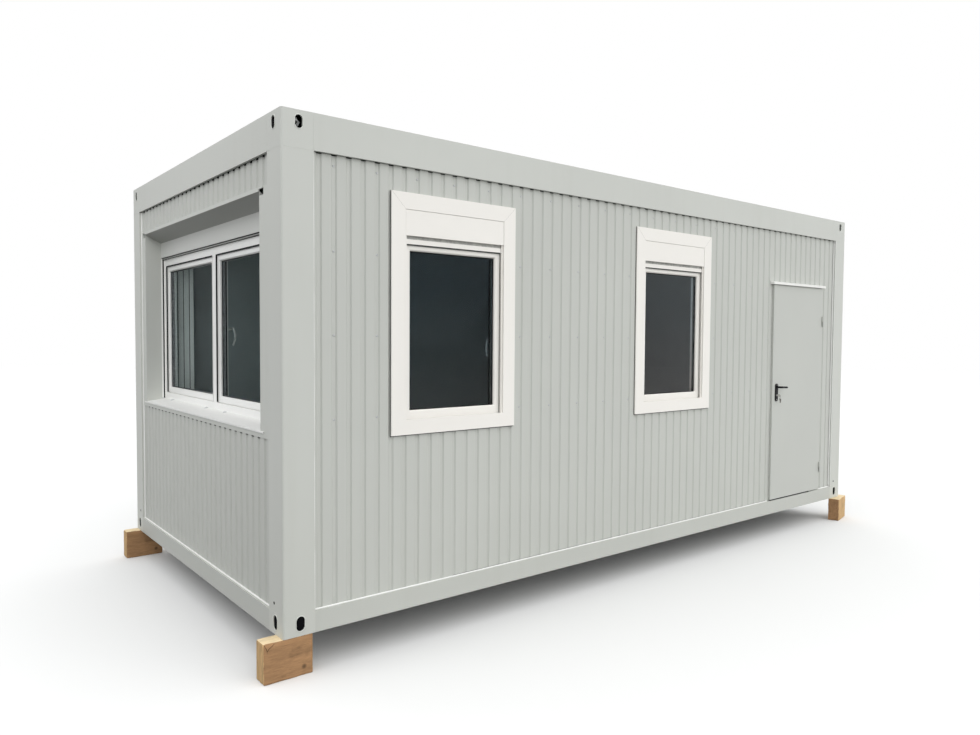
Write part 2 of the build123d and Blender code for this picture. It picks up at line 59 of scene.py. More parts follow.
# Colours, linear
WHITE = (1, 1, 1)
LIGHT_GREY = (0.565, 0.578, 0.54)
NICHE_WHITE = (0.88, 0.88, 0.855)

# Ribs of the cladding, as the CAD has them
RIB_PITCH = 0.0911
RIB_FLOOR = 0.02
RIB_SLOPE = 0.008
RIB_DEPTH = 0.008
RIB_START = {"front": 0.02, "rear": 0.02, "right": 0.048, "left": 0.048}

# Corner slots, as the CAD has them
SLOT_FROM_CORNER = 0.1
BASE_SLOT = (0.082, 0.05, 0.067)
ROOF_SLOT = (0.072, 0.044, 2.759)

# Windows, as the CAD has them
TRIM_OPENING = 0.75
TRIM_BOTTOM = 0.09
TRIM_TOP = 0.097
GUIDE_WIDTH = 0.013
NICHE_POCKET = 0.03
NICHE_MULLION = 0.064
NICHE_FRAME_TOP = 2.225
NICHE_SLAT_E = (0.147, 0.156)
SASH_GAP = 0.0003
SASH_REBATE = (0.005, 0.007)
SILL_FRONT = (0.012, 1.088)
SILL_SLOPE = 0.025 / 0.151

# Places that follow from the frame
base_low, base_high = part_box("base_corner_castings")
roof_low, roof_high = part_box("roof_corner_castings")
HALF_LENGTH, HALF_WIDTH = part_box("corner_posts")[1].xy
BASE = base_low.z
LONG_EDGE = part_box("base_side_rails")[1].x
END_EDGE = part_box("base_end_rails")[1].y
POST_WIDTH = HALF_LENGTH - LONG_EDGE
RAIL_TOP = base_high.z - BASE
ROOF_RAIL = roof_low.z - BASE
ROOF_TOP = roof_high.z - BASE

# The least gap that keeps two faces apart
HAIR = 0.0002

FACADES = {}
for name, place, quarters in (
    ("front", (0, -HALF_WIDTH, BASE), 0),
    ("rear", (0, HALF_WIDTH, BASE), 2),
    ("right", (HALF_LENGTH, 0, BASE), 1),
    ("left", (-HALF_LENGTH, 0, BASE), -1),
):
    FACADES[name] = Matrix.Translation(place) @ Matrix.Rotation(quarters * math.pi / 2, 4, "Z")
HALF_SPANS = {"front": HALF_LENGTH, "rear": HALF_LENGTH, "right": HALF_WIDTH, "left": HALF_WIDTH}
PANEL_EDGES = {"front": LONG_EDGE, "rear": LONG_EDGE, "right": END_EDGE, "left": END_EDGE}


def facade_box(facade, node):
    """A CAD node's limits in a facade's frame."""
    back = FACADES[facade].inverted()
    corners = [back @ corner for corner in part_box(node)]
    low = Vector(min(c[i] for c in corners) for i in range(3))
    high = Vector(max(c[i] for c in corners) for i in range(3))
    return low, high


# Shader nodes
def shader(name, make, *values):
    """A new material whose surface inputs a maker works out."""
    material = bpy.data.materials.new(name)
    material.use_nodes = True
    tree = material.node_tree
    surface = tree.nodes["Principled BSDF"]
    dress(tree, surface, **make(tree, *values))
    return material


def put(tree, socket, value):
    """Link a socket to an input, or set its value."""
    if isinstance(value, bpy.types.NodeSocket):
        tree.links.new(value, socket)
    elif hasattr(socket.default_value, "__len__") and len(socket.default_value) == 4:
        socket.default_value = (*value, 1)
    else:
        socket.default_value = value


def dress(tree, node, **inputs):
    """Put values or links on a node's named inputs."""
    for key, value in inputs.items():
        put(tree, node.inputs[key.replace("_", " ")], value)


def add(tree, kind, settings=None, **inputs):
    """A shader node of a kind, with its settings and inputs."""
    node = tree.nodes.new("ShaderNode" + kind)
    for key, value in (settings or {}).items():
        setattr(node, key, value)
    dress(tree, node, **inputs)
    return node


def number(tree, operation, *values, kind="Math"):
    """One number worked out from others or a vector."""
    node = add(tree, kind, {"operation": operation})
    for socket, value in zip(node.inputs, values):
        put(tree, socket, value)
    return node.outputs["Value"]


def object_place(tree, scale=(1, 1, 1), shift=(0, 0, 0)):
    """Object coordinates, stretched by a scale."""
    source = add(tree, "TexCoord").outputs["Object"]
    return add(tree, "Mapping", Vector=source, Scale=scale, Location=shift).outputs[0]


def cloud(tree, place, scale, detail=4, roughness=0.55, distortion=0.0):
    """Soft noise between 0 and 1."""
    settings = {"Scale": scale, "Detail": detail, "Roughness": roughness, "Distortion": distortion}
    return add(tree, "TexNoise", Vector=place, **settings).outputs[0]


def tinted(colour, factor):
    """A colour times one factor, or times one for each channel."""
    factors = factor if isinstance(factor, tuple) else (factor,) * 3
    return tuple(min(1.0, channel * by) for channel, by in zip(colour, factors))


def ramp(tree, factor, colour, stops):
    """Tints of a colour at stops along a factor."""
    node = add(tree, "ValToRGB", Fac=factor)
    for element, (position, tint) in zip(node.color_ramp.elements, stops):
        element.position = position
        element.color = (*tinted(colour, tint), 1)
    return node.outputs[0]


def mix(tree, factor, first, second, blend="MIX"):
    """One colour over another."""
    node = add(tree, "Mix", {"data_type": "RGBA", "blend_type": blend}, Factor=factor)
    put(tree, node.inputs[6], first)
    put(tree, node.inputs[7], second)
    return node.outputs[2]


def span(tree, value, low, high, to_low=0.0, to_high=1.0):
    """A value's range moved to another range."""
    limits = {"From_Min": low, "From_Max": high, "To_Min": to_low, "To_Max": to_high}
    return add(tree, "MapRange", Value=value, **limits).outputs[0]


def bump(tree, height, distance, strength=1.0, **normal):
    """A bump from a height, over another normal if given."""
    node = add(tree, "Bump", Height=height, Distance=distance, Strength=strength, **normal)
    return node.outputs[0]


def upward(tree, place):
    """Height of a place, as one number."""
    return add(tree, "SeparateXYZ", Vector=place).outputs[2]


# Makers, which work out the inputs of a surface
RAIN_STRETCH = (9, 9, 0.5)
RAIN_TINT = (0.8, 0.79, 0.74)
LOWER_TINT = (0.82, 0.79, 0.72)
LOWER_HEIGHTS = (1.3, 0.25)
PANE_SHADE_HEIGHTS = (2.15, 1.35)
KNOT = (-0.088, 0, 0.062)
KNOT_RADII = (0.018, 0.006)


def paint(tree, colour, roughness, wear, waviness, underside_shade=1.0):
    """Sprayed steel: faint clouds, a darker and warmer tone towards the bottom, orange peel and, if asked,
    painted shade on faces that point down.
    """
    place = object_place(tree)
    patches = cloud(tree, place, 0.9, 5)
    base = ramp(tree, patches, colour, ((0.25, 0.965), (0.75, 1.03)))
    rain = cloud(tree, object_place(tree, RAIN_STRETCH), 1.0, 4)
    streaks = span(tree, rain, 0.52, 0.75, 0.0, wear)
    base = mix(tree, streaks, base, tinted(colour, RAIN_TINT))
    # A darker, warmer tone towards the bottom.
    lower_tone = span(tree, upward(tree, place), *LOWER_HEIGHTS, 0.0, wear * 1.1)
    base = mix(tree, lower_tone, base, tinted(colour, LOWER_TINT))
    # Painted shade: faces that point down, such as the niche's soffit, are darkened by the given factor.
    if underside_shade < 1:
        facing = upward(tree, add(tree, "NewGeometry").outputs["Normal"])
        base = mix(tree, span(tree, facing, -0.4, -0.8), base, tinted(colour, underside_shade))
    dull = span(tree, patches, 0.2, 0.8, roughness - 0.05, roughness + 0.08)
    waves = bump(tree, cloud(tree, place, 2.2, 2), waviness)
    peel = bump(tree, cloud(tree, place, 420, 2), 0.00008, 0.5, Normal=waves)
    return {"Base_Color": base, "Roughness": dull, "Normal": peel}


def plastic(tree, colour, roughness, gloss=0.5):
    """Window plastic: a fine skin and hardly any clouding."""
    place = object_place(tree)
    patches = cloud(tree, place, 3, 4)
    base = ramp(tree, patches, colour, ((0.3, 0.988), (0.7, 1.006)))
    dull = span(tree, patches, 0.2, 0.8, roughness - 0.01, roughness + 0.02)
    skin = bump(tree, cloud(tree, place, 600, 2), 0.00002, 0.3)
    return {"Base_Color": base, "Roughness": dull, "Normal": skin, "Specular_IOR_Level": gloss}


def rubber(tree, colour, roughness=0.7, gloss=0.15):
    """Seals, brushes, and the near black used as painted shade."""
    place = object_place(tree)
    base = ramp(tree, cloud(tree, place, 40, 3), colour, ((0.3, 0.8), (0.7, 1.25)))
    skin = bump(tree, cloud(tree, place, 900, 2), 0.0001, 0.5)
    return {"Base_Color": base, "Roughness": roughness, "Normal": skin, "Specular_IOR_Level": gloss}


def metal(tree, colour, roughness, scale):
    """Bare or plated metal with a cloudy finish."""
    place = object_place(tree)
    flakes = add(tree, "TexVoronoi", Vector=place, Scale=scale).outputs["Color"]
    grey = add(tree, "RGBToBW", Color=flakes).outputs[0]
    base = ramp(tree, grey, colour, ((0.1, 0.82), (0.9, 1.12)))
    dull = span(tree, grey, 0, 1, roughness - 0.06, roughness + 0.1)
    skin = bump(tree, cloud(tree, place, scale * 4, 3), 0.0002, 0.4)
    return {"Base_Color": base, "Metallic": 0.85, "Roughness": dull, "Normal": skin}


def pane(tree, top, bottom, index):
    """Clear insulating glass, with painted shade in its tint, deeper towards the top."""
    place = object_place(tree)
    fade = span(tree, upward(tree, place), *PANE_SHADE_HEIGHTS)
    clouds = ramp(tree, cloud(tree, place, 1.5, 2), WHITE, ((0.2, 0.98), (0.8, 1)))
    base = mix(tree, 1.0, mix(tree, fade, top, bottom), clouds, "MULTIPLY")
    skin = bump(tree, cloud(tree, place, 3, 1), 0.0004, 0.25)
    return {"Base_Color": base, "Roughness": 0, "IOR": index, "Transmission_Weight": 1, "Normal": skin}


def board(tree, colour, roughness):
    """Coated inner boards."""
    place = object_place(tree)
    base = ramp(tree, cloud(tree, place, 5, 5), colour, ((0.3, 0.94), (0.7, 1.04)))
    skin = bump(tree, cloud(tree, place, 200, 3), 0.0003, 0.5)
    return {"Base_Color": base, "Roughness": roughness, "Normal": skin}


def timber(tree, colour, dark, light, stretch, ring_scale, knot=False):
    """Sawn timber: bands of growth, fibres, stains and, if asked, one knot."""
    place = object_place(tree, stretch)
    shade = tinted(colour, dark)
    bands = cloud(tree, place, ring_scale, 3, 0.5, 1.2)
    fibres = cloud(tree, place, ring_scale * 9, 4, 0.7)
    stops = ((0.3, dark), (0.7, light))
    base = mix(tree, 0.45, ramp(tree, bands, colour, stops), ramp(tree, fibres, colour, stops))
    stains = span(tree, cloud(tree, object_place(tree), 12, 6), 0.53, 0.7, 0.0, 0.28)
    base = mix(tree, stains, base, tinted(shade, 0.55))
    streaks = span(tree, cloud(tree, place, 60, 4, 0.6), 0.58, 0.72, 0.0, 0.55)
    base = mix(tree, streaks, base, tinted(shade, 0.5))
    if knot:
        reach = number(tree, "LENGTH", object_place(tree, (1, 0, 1), KNOT), kind="VectorMath")
        base = mix(tree, span(tree, reach, *KNOT_RADII, 0.0, 0.8), base, tinted(shade, 0.35))
    sawn = bump(tree, mix(tree, 0.5, bands, fibres), 0.0012, 0.8)
    return {"Base_Color": base, "Roughness": 0.85, "Normal": sawn}


# Each look: its maker and the maker's values
LOOKS = {
    "frame_paint": (paint, LIGHT_GREY, 0.42, 0.1, 0.001),
    # A darker copy of the frame paint for the base rails: painted shade near the ground.
    "base_paint_shaded": (paint, tinted(LIGHT_GREY, 0.93), 0.5, 0.1, 0.001),
    "drip_white": (paint, (0.84, 0.84, 0.81), 0.4, 0.02, 0.0008),
    # A lighter paint for the slot rims: a painted highlight on the rolled edges.
    "rim_highlight_paint": (paint, tinted(LIGHT_GREY, 1.25), 0.35, 0.0, 0.0),
    # The lining's last value paints shade on its faces that point down, such as the soffit.
    "lining_paint": (paint, tinted(LIGHT_GREY, 1.02), 0.5, 0.04, 0.001, 0.62),
    "cladding_paint": (paint, tinted(LIGHT_GREY, 0.93), 0.5, 0.06, 0.0014),
    "door_paint": (paint, tinted(LIGHT_GREY, 0.9), 0.44, 0.04, 0.0012),
    "shutter_paint": (paint, (0.6, 0.61, 0.58), 0.42, 0.05, 0.0006),
    "white_pvc": (plastic, (0.862, 0.838, 0.79), 0.3),
    "niche_pvc": (plastic, NICHE_WHITE, 0.28),
    "sill_pvc": (plastic, tinted(NICHE_WHITE, 0.92), 0.42),
    "sealant": (plastic, (0.86, 0.86, 0.84), 0.45),
    # The front windows' glass tints deepen towards the top and differ between the windows: painted shade.
    "window_glass": (pane, (0.66, 0.76, 0.81), WHITE, 1.12),
    "right_glass": (pane, (0.92, 0.97, 1.0), (1.0, 0.98, 0.98), 1.17),
    "niche_glass": (pane, (0.88, 0.91, 0.91), (0.88, 0.91, 0.91), 1.02),
    "roof_steel": (metal, (0.46, 0.48, 0.48), 0.42, 25),
    "lock_metal": (metal, (0.62, 0.61, 0.58), 0.25, 260),
    "spacer_metal": (metal, (0.55, 0.56, 0.57), 0.35, 300),
    "black_handle": (plastic, (0.007, 0.007, 0.008), 0.5, 0.15),
    "key_metal": (metal, (0.22, 0.21, 0.19), 0.4, 300),
    "clip_zinc": (plastic, (0.55, 0.56, 0.56), 0.35),
    "inside_handle": (plastic, (0.53, 0.53, 0.52), 0.35),
    # Black for the real seals, also used as painted shade beside the trims, over the niche sash and in the
    # niche's slots.
    "gasket": (rubber, (0.012, 0.013, 0.014)),
    # Dark grey for seals and brushes, also used as painted shadow under the apron and at the cladding's
    # foot.
    "grey_seal_and_shade": (rubber, (0.1, 0.105, 0.1)),
    # Mid grey for the mitre joints, also used as painted shade on the lath under the shutter cover.
    "mitre_grey_and_shade": (rubber, (0.42, 0.42, 0.4)),
    "spacer_grey": (rubber, (0.2, 0.205, 0.21), 0.5),
    # Near black, for painted shade in gaps, holes and hollows.
    "painted_shade_black": (rubber, (0.006, 0.006, 0.007), 0.9, 0.03),
    "wood_crack": (rubber, (0.085, 0.052, 0.03), 0.9),
    "lip_seal": (rubber, (0.5, 0.5, 0.48)),
    # The inner boards' mid grey partly paints the shade of the room seen through the panes.
    "inner_board": (board, (0.33, 0.37, 0.37), 0.5),
    "reveal_board": (board, (0.95, 0.95, 0.92), 0.5),
    "deck_board": (board, (0.3, 0.3, 0.29), 0.45),
    # Timber looks go by which way a face points; the top look is much lighter: painted light from the sky.
    "wood_side": (timber, (0.335, 0.188, 0.088), 0.72, 1.45, (0.16, 1, 1), 14, True),
    "wood_end": (timber, (0.63, 0.41, 0.195), 0.55, 1.3, (1, 1, 0.1), 30),
    "wood_top_painted_light": (timber, (0.78, 0.62, 0.38), 0.82, 1.15, (0.2, 1, 1), 18),
}
looks = {name: shader(name, *values) for name, values in LOOKS.items()}

# Looks and softened edges on the CAD nodes
NODE_LOOKS = {
    "base_side_rails": "base_paint_shaded",
    "base_end_rails": "base_paint_shaded",
    "door_drip": "drip_white",
    "niche_lining": "lining_paint",
    "niche_sill": "sill_pvc",
    "gable_window_frame": "niche_pvc",
    "gable_window_sashes": "niche_pvc",
    "gable_shutter_guides": "niche_pvc",
    "timber_blocks": "wood_side",
}
SOFT_ANGLE = 35
EDGE_WIDTHS = {
    "frame_paint": 0.0025,
    "door_paint": 0.0015,
    "shutter_paint": 0.0012,
    "white_pvc": 0.0018,
    "black_handle": 0.0015,
    "lock_metal": 0.0006,
}
NODE_EDGES = {
    "niche_lining": 0.0012,
    "roof_side_rails": 0.005,
    "roof_end_rails": 0.005,
    "roof_corner_castings": 0.005,
}


def soften(piece, width):
    """Round a piece's sharp edges."""
    edge = piece.modifiers.new("soft_edges", "BEVEL")
    edge.width = width
    edge.segments = 2
    edge.limit_method = "ANGLE"
    return edge


for part in frame["record"]["subparts"]:
    name = part["node"]
    slot = part["material_slot"]
    materials = nodes[name].data.materials
    materials.clear()
    materials.append(looks[NODE_LOOKS.get(name, slot)])
    width = NODE_EDGES.get(name, EDGE_WIDTHS.get(slot))
    if width:
        soften(nodes[name], width).angle_limit = math.radians(SOFT_ANGLE)


# Mesh building
def placed(name, data):
    """A new object in the scene."""
    thing = bpy.data.objects.new(name, data)
    bpy.context.scene.collection.objects.link(thing)
    return thing


def circle(steps):
    """Cosine and sine at even steps round a circle."""
    angles = [2 * math.pi * step / steps for step in range(steps)]
    return [(math.cos(angle), math.sin(angle)) for angle in angles]


class Shape:
    """A mesh that is built up from simple forms in a facade's frame."""

    def __init__(self):
        self.mesh = bmesh.new()

    def box(self, u, e, z):
        """A block between pairs of limits."""
        corners = [self.mesh.verts.new((a, b, c)) for a in u for b in e for c in z]
        for quad in ((0, 1, 3, 2), (4, 6, 7, 5), (0, 4, 5, 1), (2, 3, 7, 6), (0, 2, 6, 4), (1, 5, 7, 3)):
            self.mesh.faces.new([corners[i] for i in quad])

    def ring(self, outer_u, outer_z, border, e):
        """A flat rectangular ring."""
        inner_z = (outer_z[0] + border, outer_z[1] - border)
        self.box(outer_u, e, (outer_z[0], inner_z[0]))
        self.box(outer_u, e, (inner_z[1], outer_z[1]))
        self.box((outer_u[0], outer_u[0] + border), e, inner_z)
        self.box((outer_u[1] - border, outer_u[1]), e, inner_z)

    def slab(self, first, second):
        """A solid between two outlines with as many points."""
        near = [self.mesh.verts.new(point) for point in first]
        far = [self.mesh.verts.new(point) for point in second]
        self.mesh.faces.new(near)
        self.mesh.faces.new(list(reversed(far)))
        for i in range(len(near)):
            j = (i + 1) % len(near)
            self.mesh.faces.new((near[i], far[i], far[j], near[j]))

    def prism(self, points, z):
        """A plan outline of (u, e) points, raised between two heights."""
        self.slab([(u, e, z[0]) for u, e in points], [(u, e, z[1]) for u, e in points])

    def plate(self, corners, thickness):
        """A thin flat piece on a facade, given by its middle corners."""
        front = [(c.x, c.y - thickness, c.z) for c in corners]
        self.slab(front, [(c.x, c.y + thickness, c.z) for c in corners])

    def skin(self, rows, closed=False):
        """Faces between rows of points, with caps unless the rows close on themselves."""
        steps = len(rows[0])
        pairs = list(zip(rows, rows[1:] + rows[:1]))
        for lower, upper in pairs if closed else pairs[:-1]:
            for i in range(steps):
                j = (i + 1) % steps
                self.mesh.faces.new((lower[i], lower[j], upper[j], upper[i]))
        if not closed:
            self.mesh.faces.new(list(reversed(rows[0])))
            self.mesh.faces.new(rows[-1])

    def lathe(self, place, profile, axis=(0, -1, 0), steps=16):
        """A round form of (radius, height) points about an axis."""
        turn = Vector((0, 0, 1)).rotation_difference(Vector(axis))
        rows = []
        for radius, height in profile:
            row = [turn @ Vector((radius * cos, radius * sin, height)) for cos, sin in circle(steps)]
            rows.append([self.mesh.verts.new(Vector(place) + point) for point in row])
        self.skin(rows)

    def tube(self, path, radii, steps=12, closed=False, flat=1.0):
        """A tube along points, with a radius at each point, flattened across the wall."""
        points = [Vector(p) for p in path]
        count = len(points)
        rows = []
        for i, point in enumerate(points):
            before = points[(i - 1) % count] if closed or i > 0 else point
            after = points[(i + 1) % count] if closed or i < count - 1 else point
            along = (after - before).normalized()
            side = along.cross(Vector((0, 0, 1)))
            side = side.normalized() if side.length > 0.2 else along.cross(Vector((0, 1, 0))).normalized()
            other = along.cross(side).normalized()
            radius = radii[i] if hasattr(radii, "__len__") else radii
            row = [point + side * radius * flat * cos + other * radius * sin for cos, sin in circle(steps)]
            rows.append([self.mesh.verts.new(edge) for edge in row])
        self.skin(rows, closed)

    def finish(self, name, facade, look, body="cabin", edge=0.0, smooth=False):
        """Place the mesh as a piece that rides on a body. Its slot is its look's."""
        bmesh.ops.recalc_face_normals(self.mesh, faces=self.mesh.faces)
        if smooth:
            for face in self.mesh.faces:
                face.smooth = len(face.verts) == 4
        self.mesh.transform(FACADES[facade])
        data = bpy.data.meshes.new(name)
        self.mesh.to_mesh(data)
        self.mesh.free()
        data.materials.append(looks[look])
        piece = placed(name, data)
        if edge:
            soften(piece, edge)
        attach(piece, body)
        return piece


def drawn_in(low, high, border):
    """The limits of a box seen from outside, drawn in by a border."""
    return (low.x + border, high.x - border), (low.z + border, high.z - border)


def around(centre, size):
    """The limits of a size laid out on both sides of a centre."""
    return (centre - size / 2, centre + size / 2)


def uneven(radius, change, *place):
    """A radius that wanders a little from place to place."""
    return radius + change * noise.noise(Vector(place))


# Cladding: screws, and painted shade at the tops of the grooves, under the roof rail and at the front
# cladding's foot
CLADDING_FACE = facade_box("front", "front_cladding")[0].y
SCREW_HEAD = (
    (0.007, 0.0),
    (0.007, 0.0008),
    (0.0052, 0.0012),
    (0.005, 0.003),
    (0.0032, 0.0042),
    (0.0006, 0.0048),
)
SCREW_ROWS = (2.56, 2.094, 1.63, 1.16)
SCREW_EVERY = 3
OPENING_MARGIN = 0.012
GROOVE_TOP_SHADES = {"front": 0.005, "rear": 0.005, "right": 0.008, "left": 0.008}
APRON_SPAN = (-1.25, 1.18)
APRON_EDGE = facade_box("left", "niche_lining")[0].z
APRON_SHADOW = 0.008
TOP_GAP_SHADE = 0.0012
FOOT_SHADOW_START = -1.9
FOOT_SHADOW = (RAIL_TOP + 0.0062, RAIL_TOP + 0.0082)
OPENINGS = {
    "front": ["window_left_trim", "window_right_trim", "door_frame"],
    "left": ["niche_lining", "niche_sill"],
}


def is_clear(facade, u, z):
    """Whether a place on a facade lies beside all its openings."""
    spot = (u, 0, z)
    for node in OPENINGS.get(facade, ()):
        low, high = facade_box(facade, node)
        if all(low[i] - OPENING_MARGIN < spot[i] < high[i] + OPENING_MARGIN for i in (0, 2)):
            return False
    return True


def rib_starts(facade):
    """Where each groove starts."""
    start = -PANEL_EDGES[facade] + RIB_START[facade]
    while start + 2 * RIB_SLOPE + RIB_FLOOR < PANEL_EDGES[facade]:
        yield start
        start += RIB_PITCH


def cladding_details(facade):
    """Screws in the grooves, painted shade at the open top of each groove, and on the left end a painted
    shadow under the apron.
    """
    screws = Shape()
    groove_shade = Shape()
    shadows = Shape()
    floor = CLADDING_FACE + RIB_DEPTH
    for index, start in enumerate(rib_starts(facade)):
        centre = start + RIB_SLOPE + RIB_FLOOR / 2
        if index % SCREW_EVERY == 1:
            for z in SCREW_ROWS:
                if is_clear(facade, centre, z):
                    screws.lathe((centre, floor, z), SCREW_HEAD)
        outline = [
            (start, CLADDING_FACE + 0.0004),
            (start + RIB_SLOPE, floor - 0.0003),
            (start + RIB_SLOPE + RIB_FLOOR, floor - 0.0003),
            (start + 2 * RIB_SLOPE + RIB_FLOOR, CLADDING_FACE + 0.0004),
        ]
        groove_shade.prism(outline, (ROOF_RAIL - GROOVE_TOP_SHADES[facade], ROOF_RAIL - HAIR))
        if facade == "left" and APRON_SPAN[0] < start < APRON_SPAN[1]:
            shadows.prism(outline, (APRON_EDGE - APRON_SHADOW, APRON_EDGE))
    screws.finish(f"{facade}_cladding_screws", facade, "spacer_metal", smooth=True)
    groove_shade.finish(f"{facade}_groove_tops", facade, "painted_shade_black")
    if facade == "left":
        shadows.finish("apron_groove_tops", facade, "grey_seal_and_shade")


def shade_lines(facade):
    """Painted shade in the gap under the roof rail, and a painted shadow line at the front cladding's
    foot.
    """
    edge = PANEL_EDGES[facade]
    gap = Shape()
    gap.box((-edge, edge), (CLADDING_FACE - 0.001, CLADDING_FACE), (ROOF_RAIL - TOP_GAP_SHADE, ROOF_RAIL))
    gap.finish(f"{facade}_top_gap_shade", facade, "painted_shade_black")
    if facade == "front":
        line = Shape()
        u = (FOOT_SHADOW_START, facade_box(facade, "door_frame")[0].x - 0.002)
        line.box(u, (CLADDING_FACE - 0.0006, CLADDING_FACE), FOOT_SHADOW)
        line.finish("front_foot_shadow", facade, "grey_seal_and_shade")


# Sealant: a bead on the base rail's ledge and beads up the posts, and a painted highlight on the front
# posts' edges
FOOT_BEAD = (0.0046, 0.0012)
FOOT_BEAD_STEP = 0.03
FOOT_BEAD_END = 1.6
POST_BEAD = (0.0065, 0.0012)
POST_BEAD_STEPS = 80
FRONT_EDGE_HIGHLIGHT = (0.0016, 0.0007)


def sealant_beads(facade):
    """White beads along the foot of the cladding and up its sides, and on the front a thin bead on each
    post edge that paints a highlight.
    """
    edge = PANEL_EDGES[facade]
    bead = Shape()
    spans = [(-edge, edge)]
    if facade == "front":
        door_low, door_high = facade_box(facade, "door_frame")
        spans = [(-edge, door_low.x), (door_high.x, edge)]
    for low, high in spans:
        path = []
        radii = []
        count = max(8, int((high - low) / FOOT_BEAD_STEP))
        for i in range(count + 1):
            u = low + (high - low) * i / count
            path.append((u, CLADDING_FACE - 0.003, RAIL_TOP + 0.002))
            radii.append(uneven(*FOOT_BEAD, u * 9, 3.1, 0) * (FOOT_BEAD_END if i in (0, count) else 1))
        bead.tube(path, radii, 8)
    step = (ROOF_RAIL - RAIL_TOP) / POST_BEAD_STEPS
    heights = [RAIL_TOP + step * i for i in range(POST_BEAD_STEPS + 1)]
    for side in (-1, 1):
        path = [(side * (edge - 0.001), CLADDING_FACE - 0.001, z) for z in heights]
        bead.tube(path, [uneven(*POST_BEAD, side, 1.7, z * 7) for z in heights], 8)
        # A thin white bead on each front post edge: a painted highlight.
        if facade == "front":
            path = [(side * (edge + 0.0005), 0.0012, z) for z in heights]
            bead.tube(path, [uneven(*FRONT_EDGE_HIGHLIGHT, side, 4.3, z * 9) for z in heights], 8)
    bead.finish(f"{facade}_sealant", facade, "sealant", smooth=True)


for facade in FACADES:
    cladding_details(facade)
    shade_lines(facade)
    sealant_beads(facade)


# Slots in the corner castings: a rolled rim in a lighter paint that paints a highlight, and painted shade
# behind it
SLOT_STEPS = 10
RIM_GROWTH = 0.0012
RIM_RADIUS = 0.0022
SHADE_GROWTH = -0.0004
SHADE_DEPTHS = {"front": 0.006, "rear": 0.006, "right": 0.003, "left": 0.003}


def slot_outline(centre, slot, growth):
    """Points round an upright slot."""
    height, width, middle = slot
    radius = width / 2 + growth
    reach = (height - width) / 2
    points = []
    for end, start in ((1, 0.0), (-1, math.pi)):
        for i in range(SLOT_STEPS + 1):
            angle = start + math.pi * i / SLOT_STEPS
            z = middle + end * reach + radius * math.sin(angle)
            points.append((centre + radius * math.cos(angle), z))
    return points


def slot_rims(facade):
    """A rim round each slot of a facade, in a lighter paint that paints a highlight, and a dark plate of
    painted shade inside the slots that look empty.
    """
    rims = Shape()
    shade = Shape()
    for side in (-1, 1):
        centre = side * (HALF_SPANS[facade] - SLOT_FROM_CORNER)
        for slot in (BASE_SLOT, ROOF_SLOT):
            path = [(u, 0.0, z) for u, z in slot_outline(centre, slot, RIM_GROWTH)]
            rims.tube(path, RIM_RADIUS, 8, closed=True)
            if slot is BASE_SLOT or facade in ("left", "right"):
                inside = slot_outline(centre, slot, SHADE_GROWTH)
                shade.plate([Vector((u, SHADE_DEPTHS[facade], z)) for u, z in inside], 0.0005)
    shade.finish(f"{facade}_slot_shade", facade, "painted_shade_black")
    rims.finish(f"{facade}_slot_rims", facade, "rim_highlight_paint", smooth=True)


for facade in FACADES:
    slot_rims(facade)


# Inside the corner castings. Clips are given by their way along the wall, depth and height.
CAVITY = 0.0115
CLIP_ROOM = 0.045
LONG_CLIP = (
    (-0.02, 0.045, 0.03),
    (-0.004, 0.03, 0.018),
    (0.01, 0.028, 0.002),
    (0.002, 0.032, -0.016),
    (-0.012, 0.05, -0.024),
)
LONG_CLIP_RADII = (0.006, 0.009, 0.008, 0.008, 0.005)
END_CLIP = ((0.045, 0.03), (0.03, 0.004), (0.045, -0.02))
END_CLIP_RADII = (0.006, 0.009, 0.006)


def casting_inside():
    """Dark boxes of painted shade that line the hollow castings, and plated clips inside the upper ones.
    """
    dark = Shape()
    clips = Shape()
    far_x = HALF_LENGTH - POST_WIDTH + CAVITY
    far_y = HALF_WIDTH - POST_WIDTH + CAVITY
    for sign_x in (-1, 1):
        for sign_y in (-1, 1):
            for low, high, inset in ((BASE, base_high.z, 0.0), (roof_low.z, roof_high.z, CLIP_ROOM)):
                x = sorted((sign_x * (HALF_LENGTH - CAVITY - inset), sign_x * far_x))
                y = sorted((sign_y * (HALF_WIDTH - CAVITY - inset), sign_y * far_y))
                dark.box(x, y, (low + CAVITY, high - CAVITY))
            place_x = sign_x * (HALF_LENGTH - SLOT_FROM_CORNER)
            place_y = sign_y * (HALF_WIDTH - SLOT_FROM_CORNER)
            z = BASE + ROOF_SLOT[2]
            path = [(place_x + u, sign_y * (HALF_WIDTH - depth), z + up) for u, depth, up in LONG_CLIP]
            clips.tube(path, LONG_CLIP_RADII, 12)
            path = [(sign_x * (HALF_LENGTH - depth), place_y, z + up) for depth, up in END_CLIP]
            clips.tube(path, END_CLIP_RADII, 12)
    for shape in (dark, clips):
        shape.mesh.transform(FACADES["front"].inverted())
    dark.finish("casting_painted_shade", "front", "painted_shade_black")
    clips.finish("casting_clips", "front", "clip_zinc", smooth=True)


casting_inside()


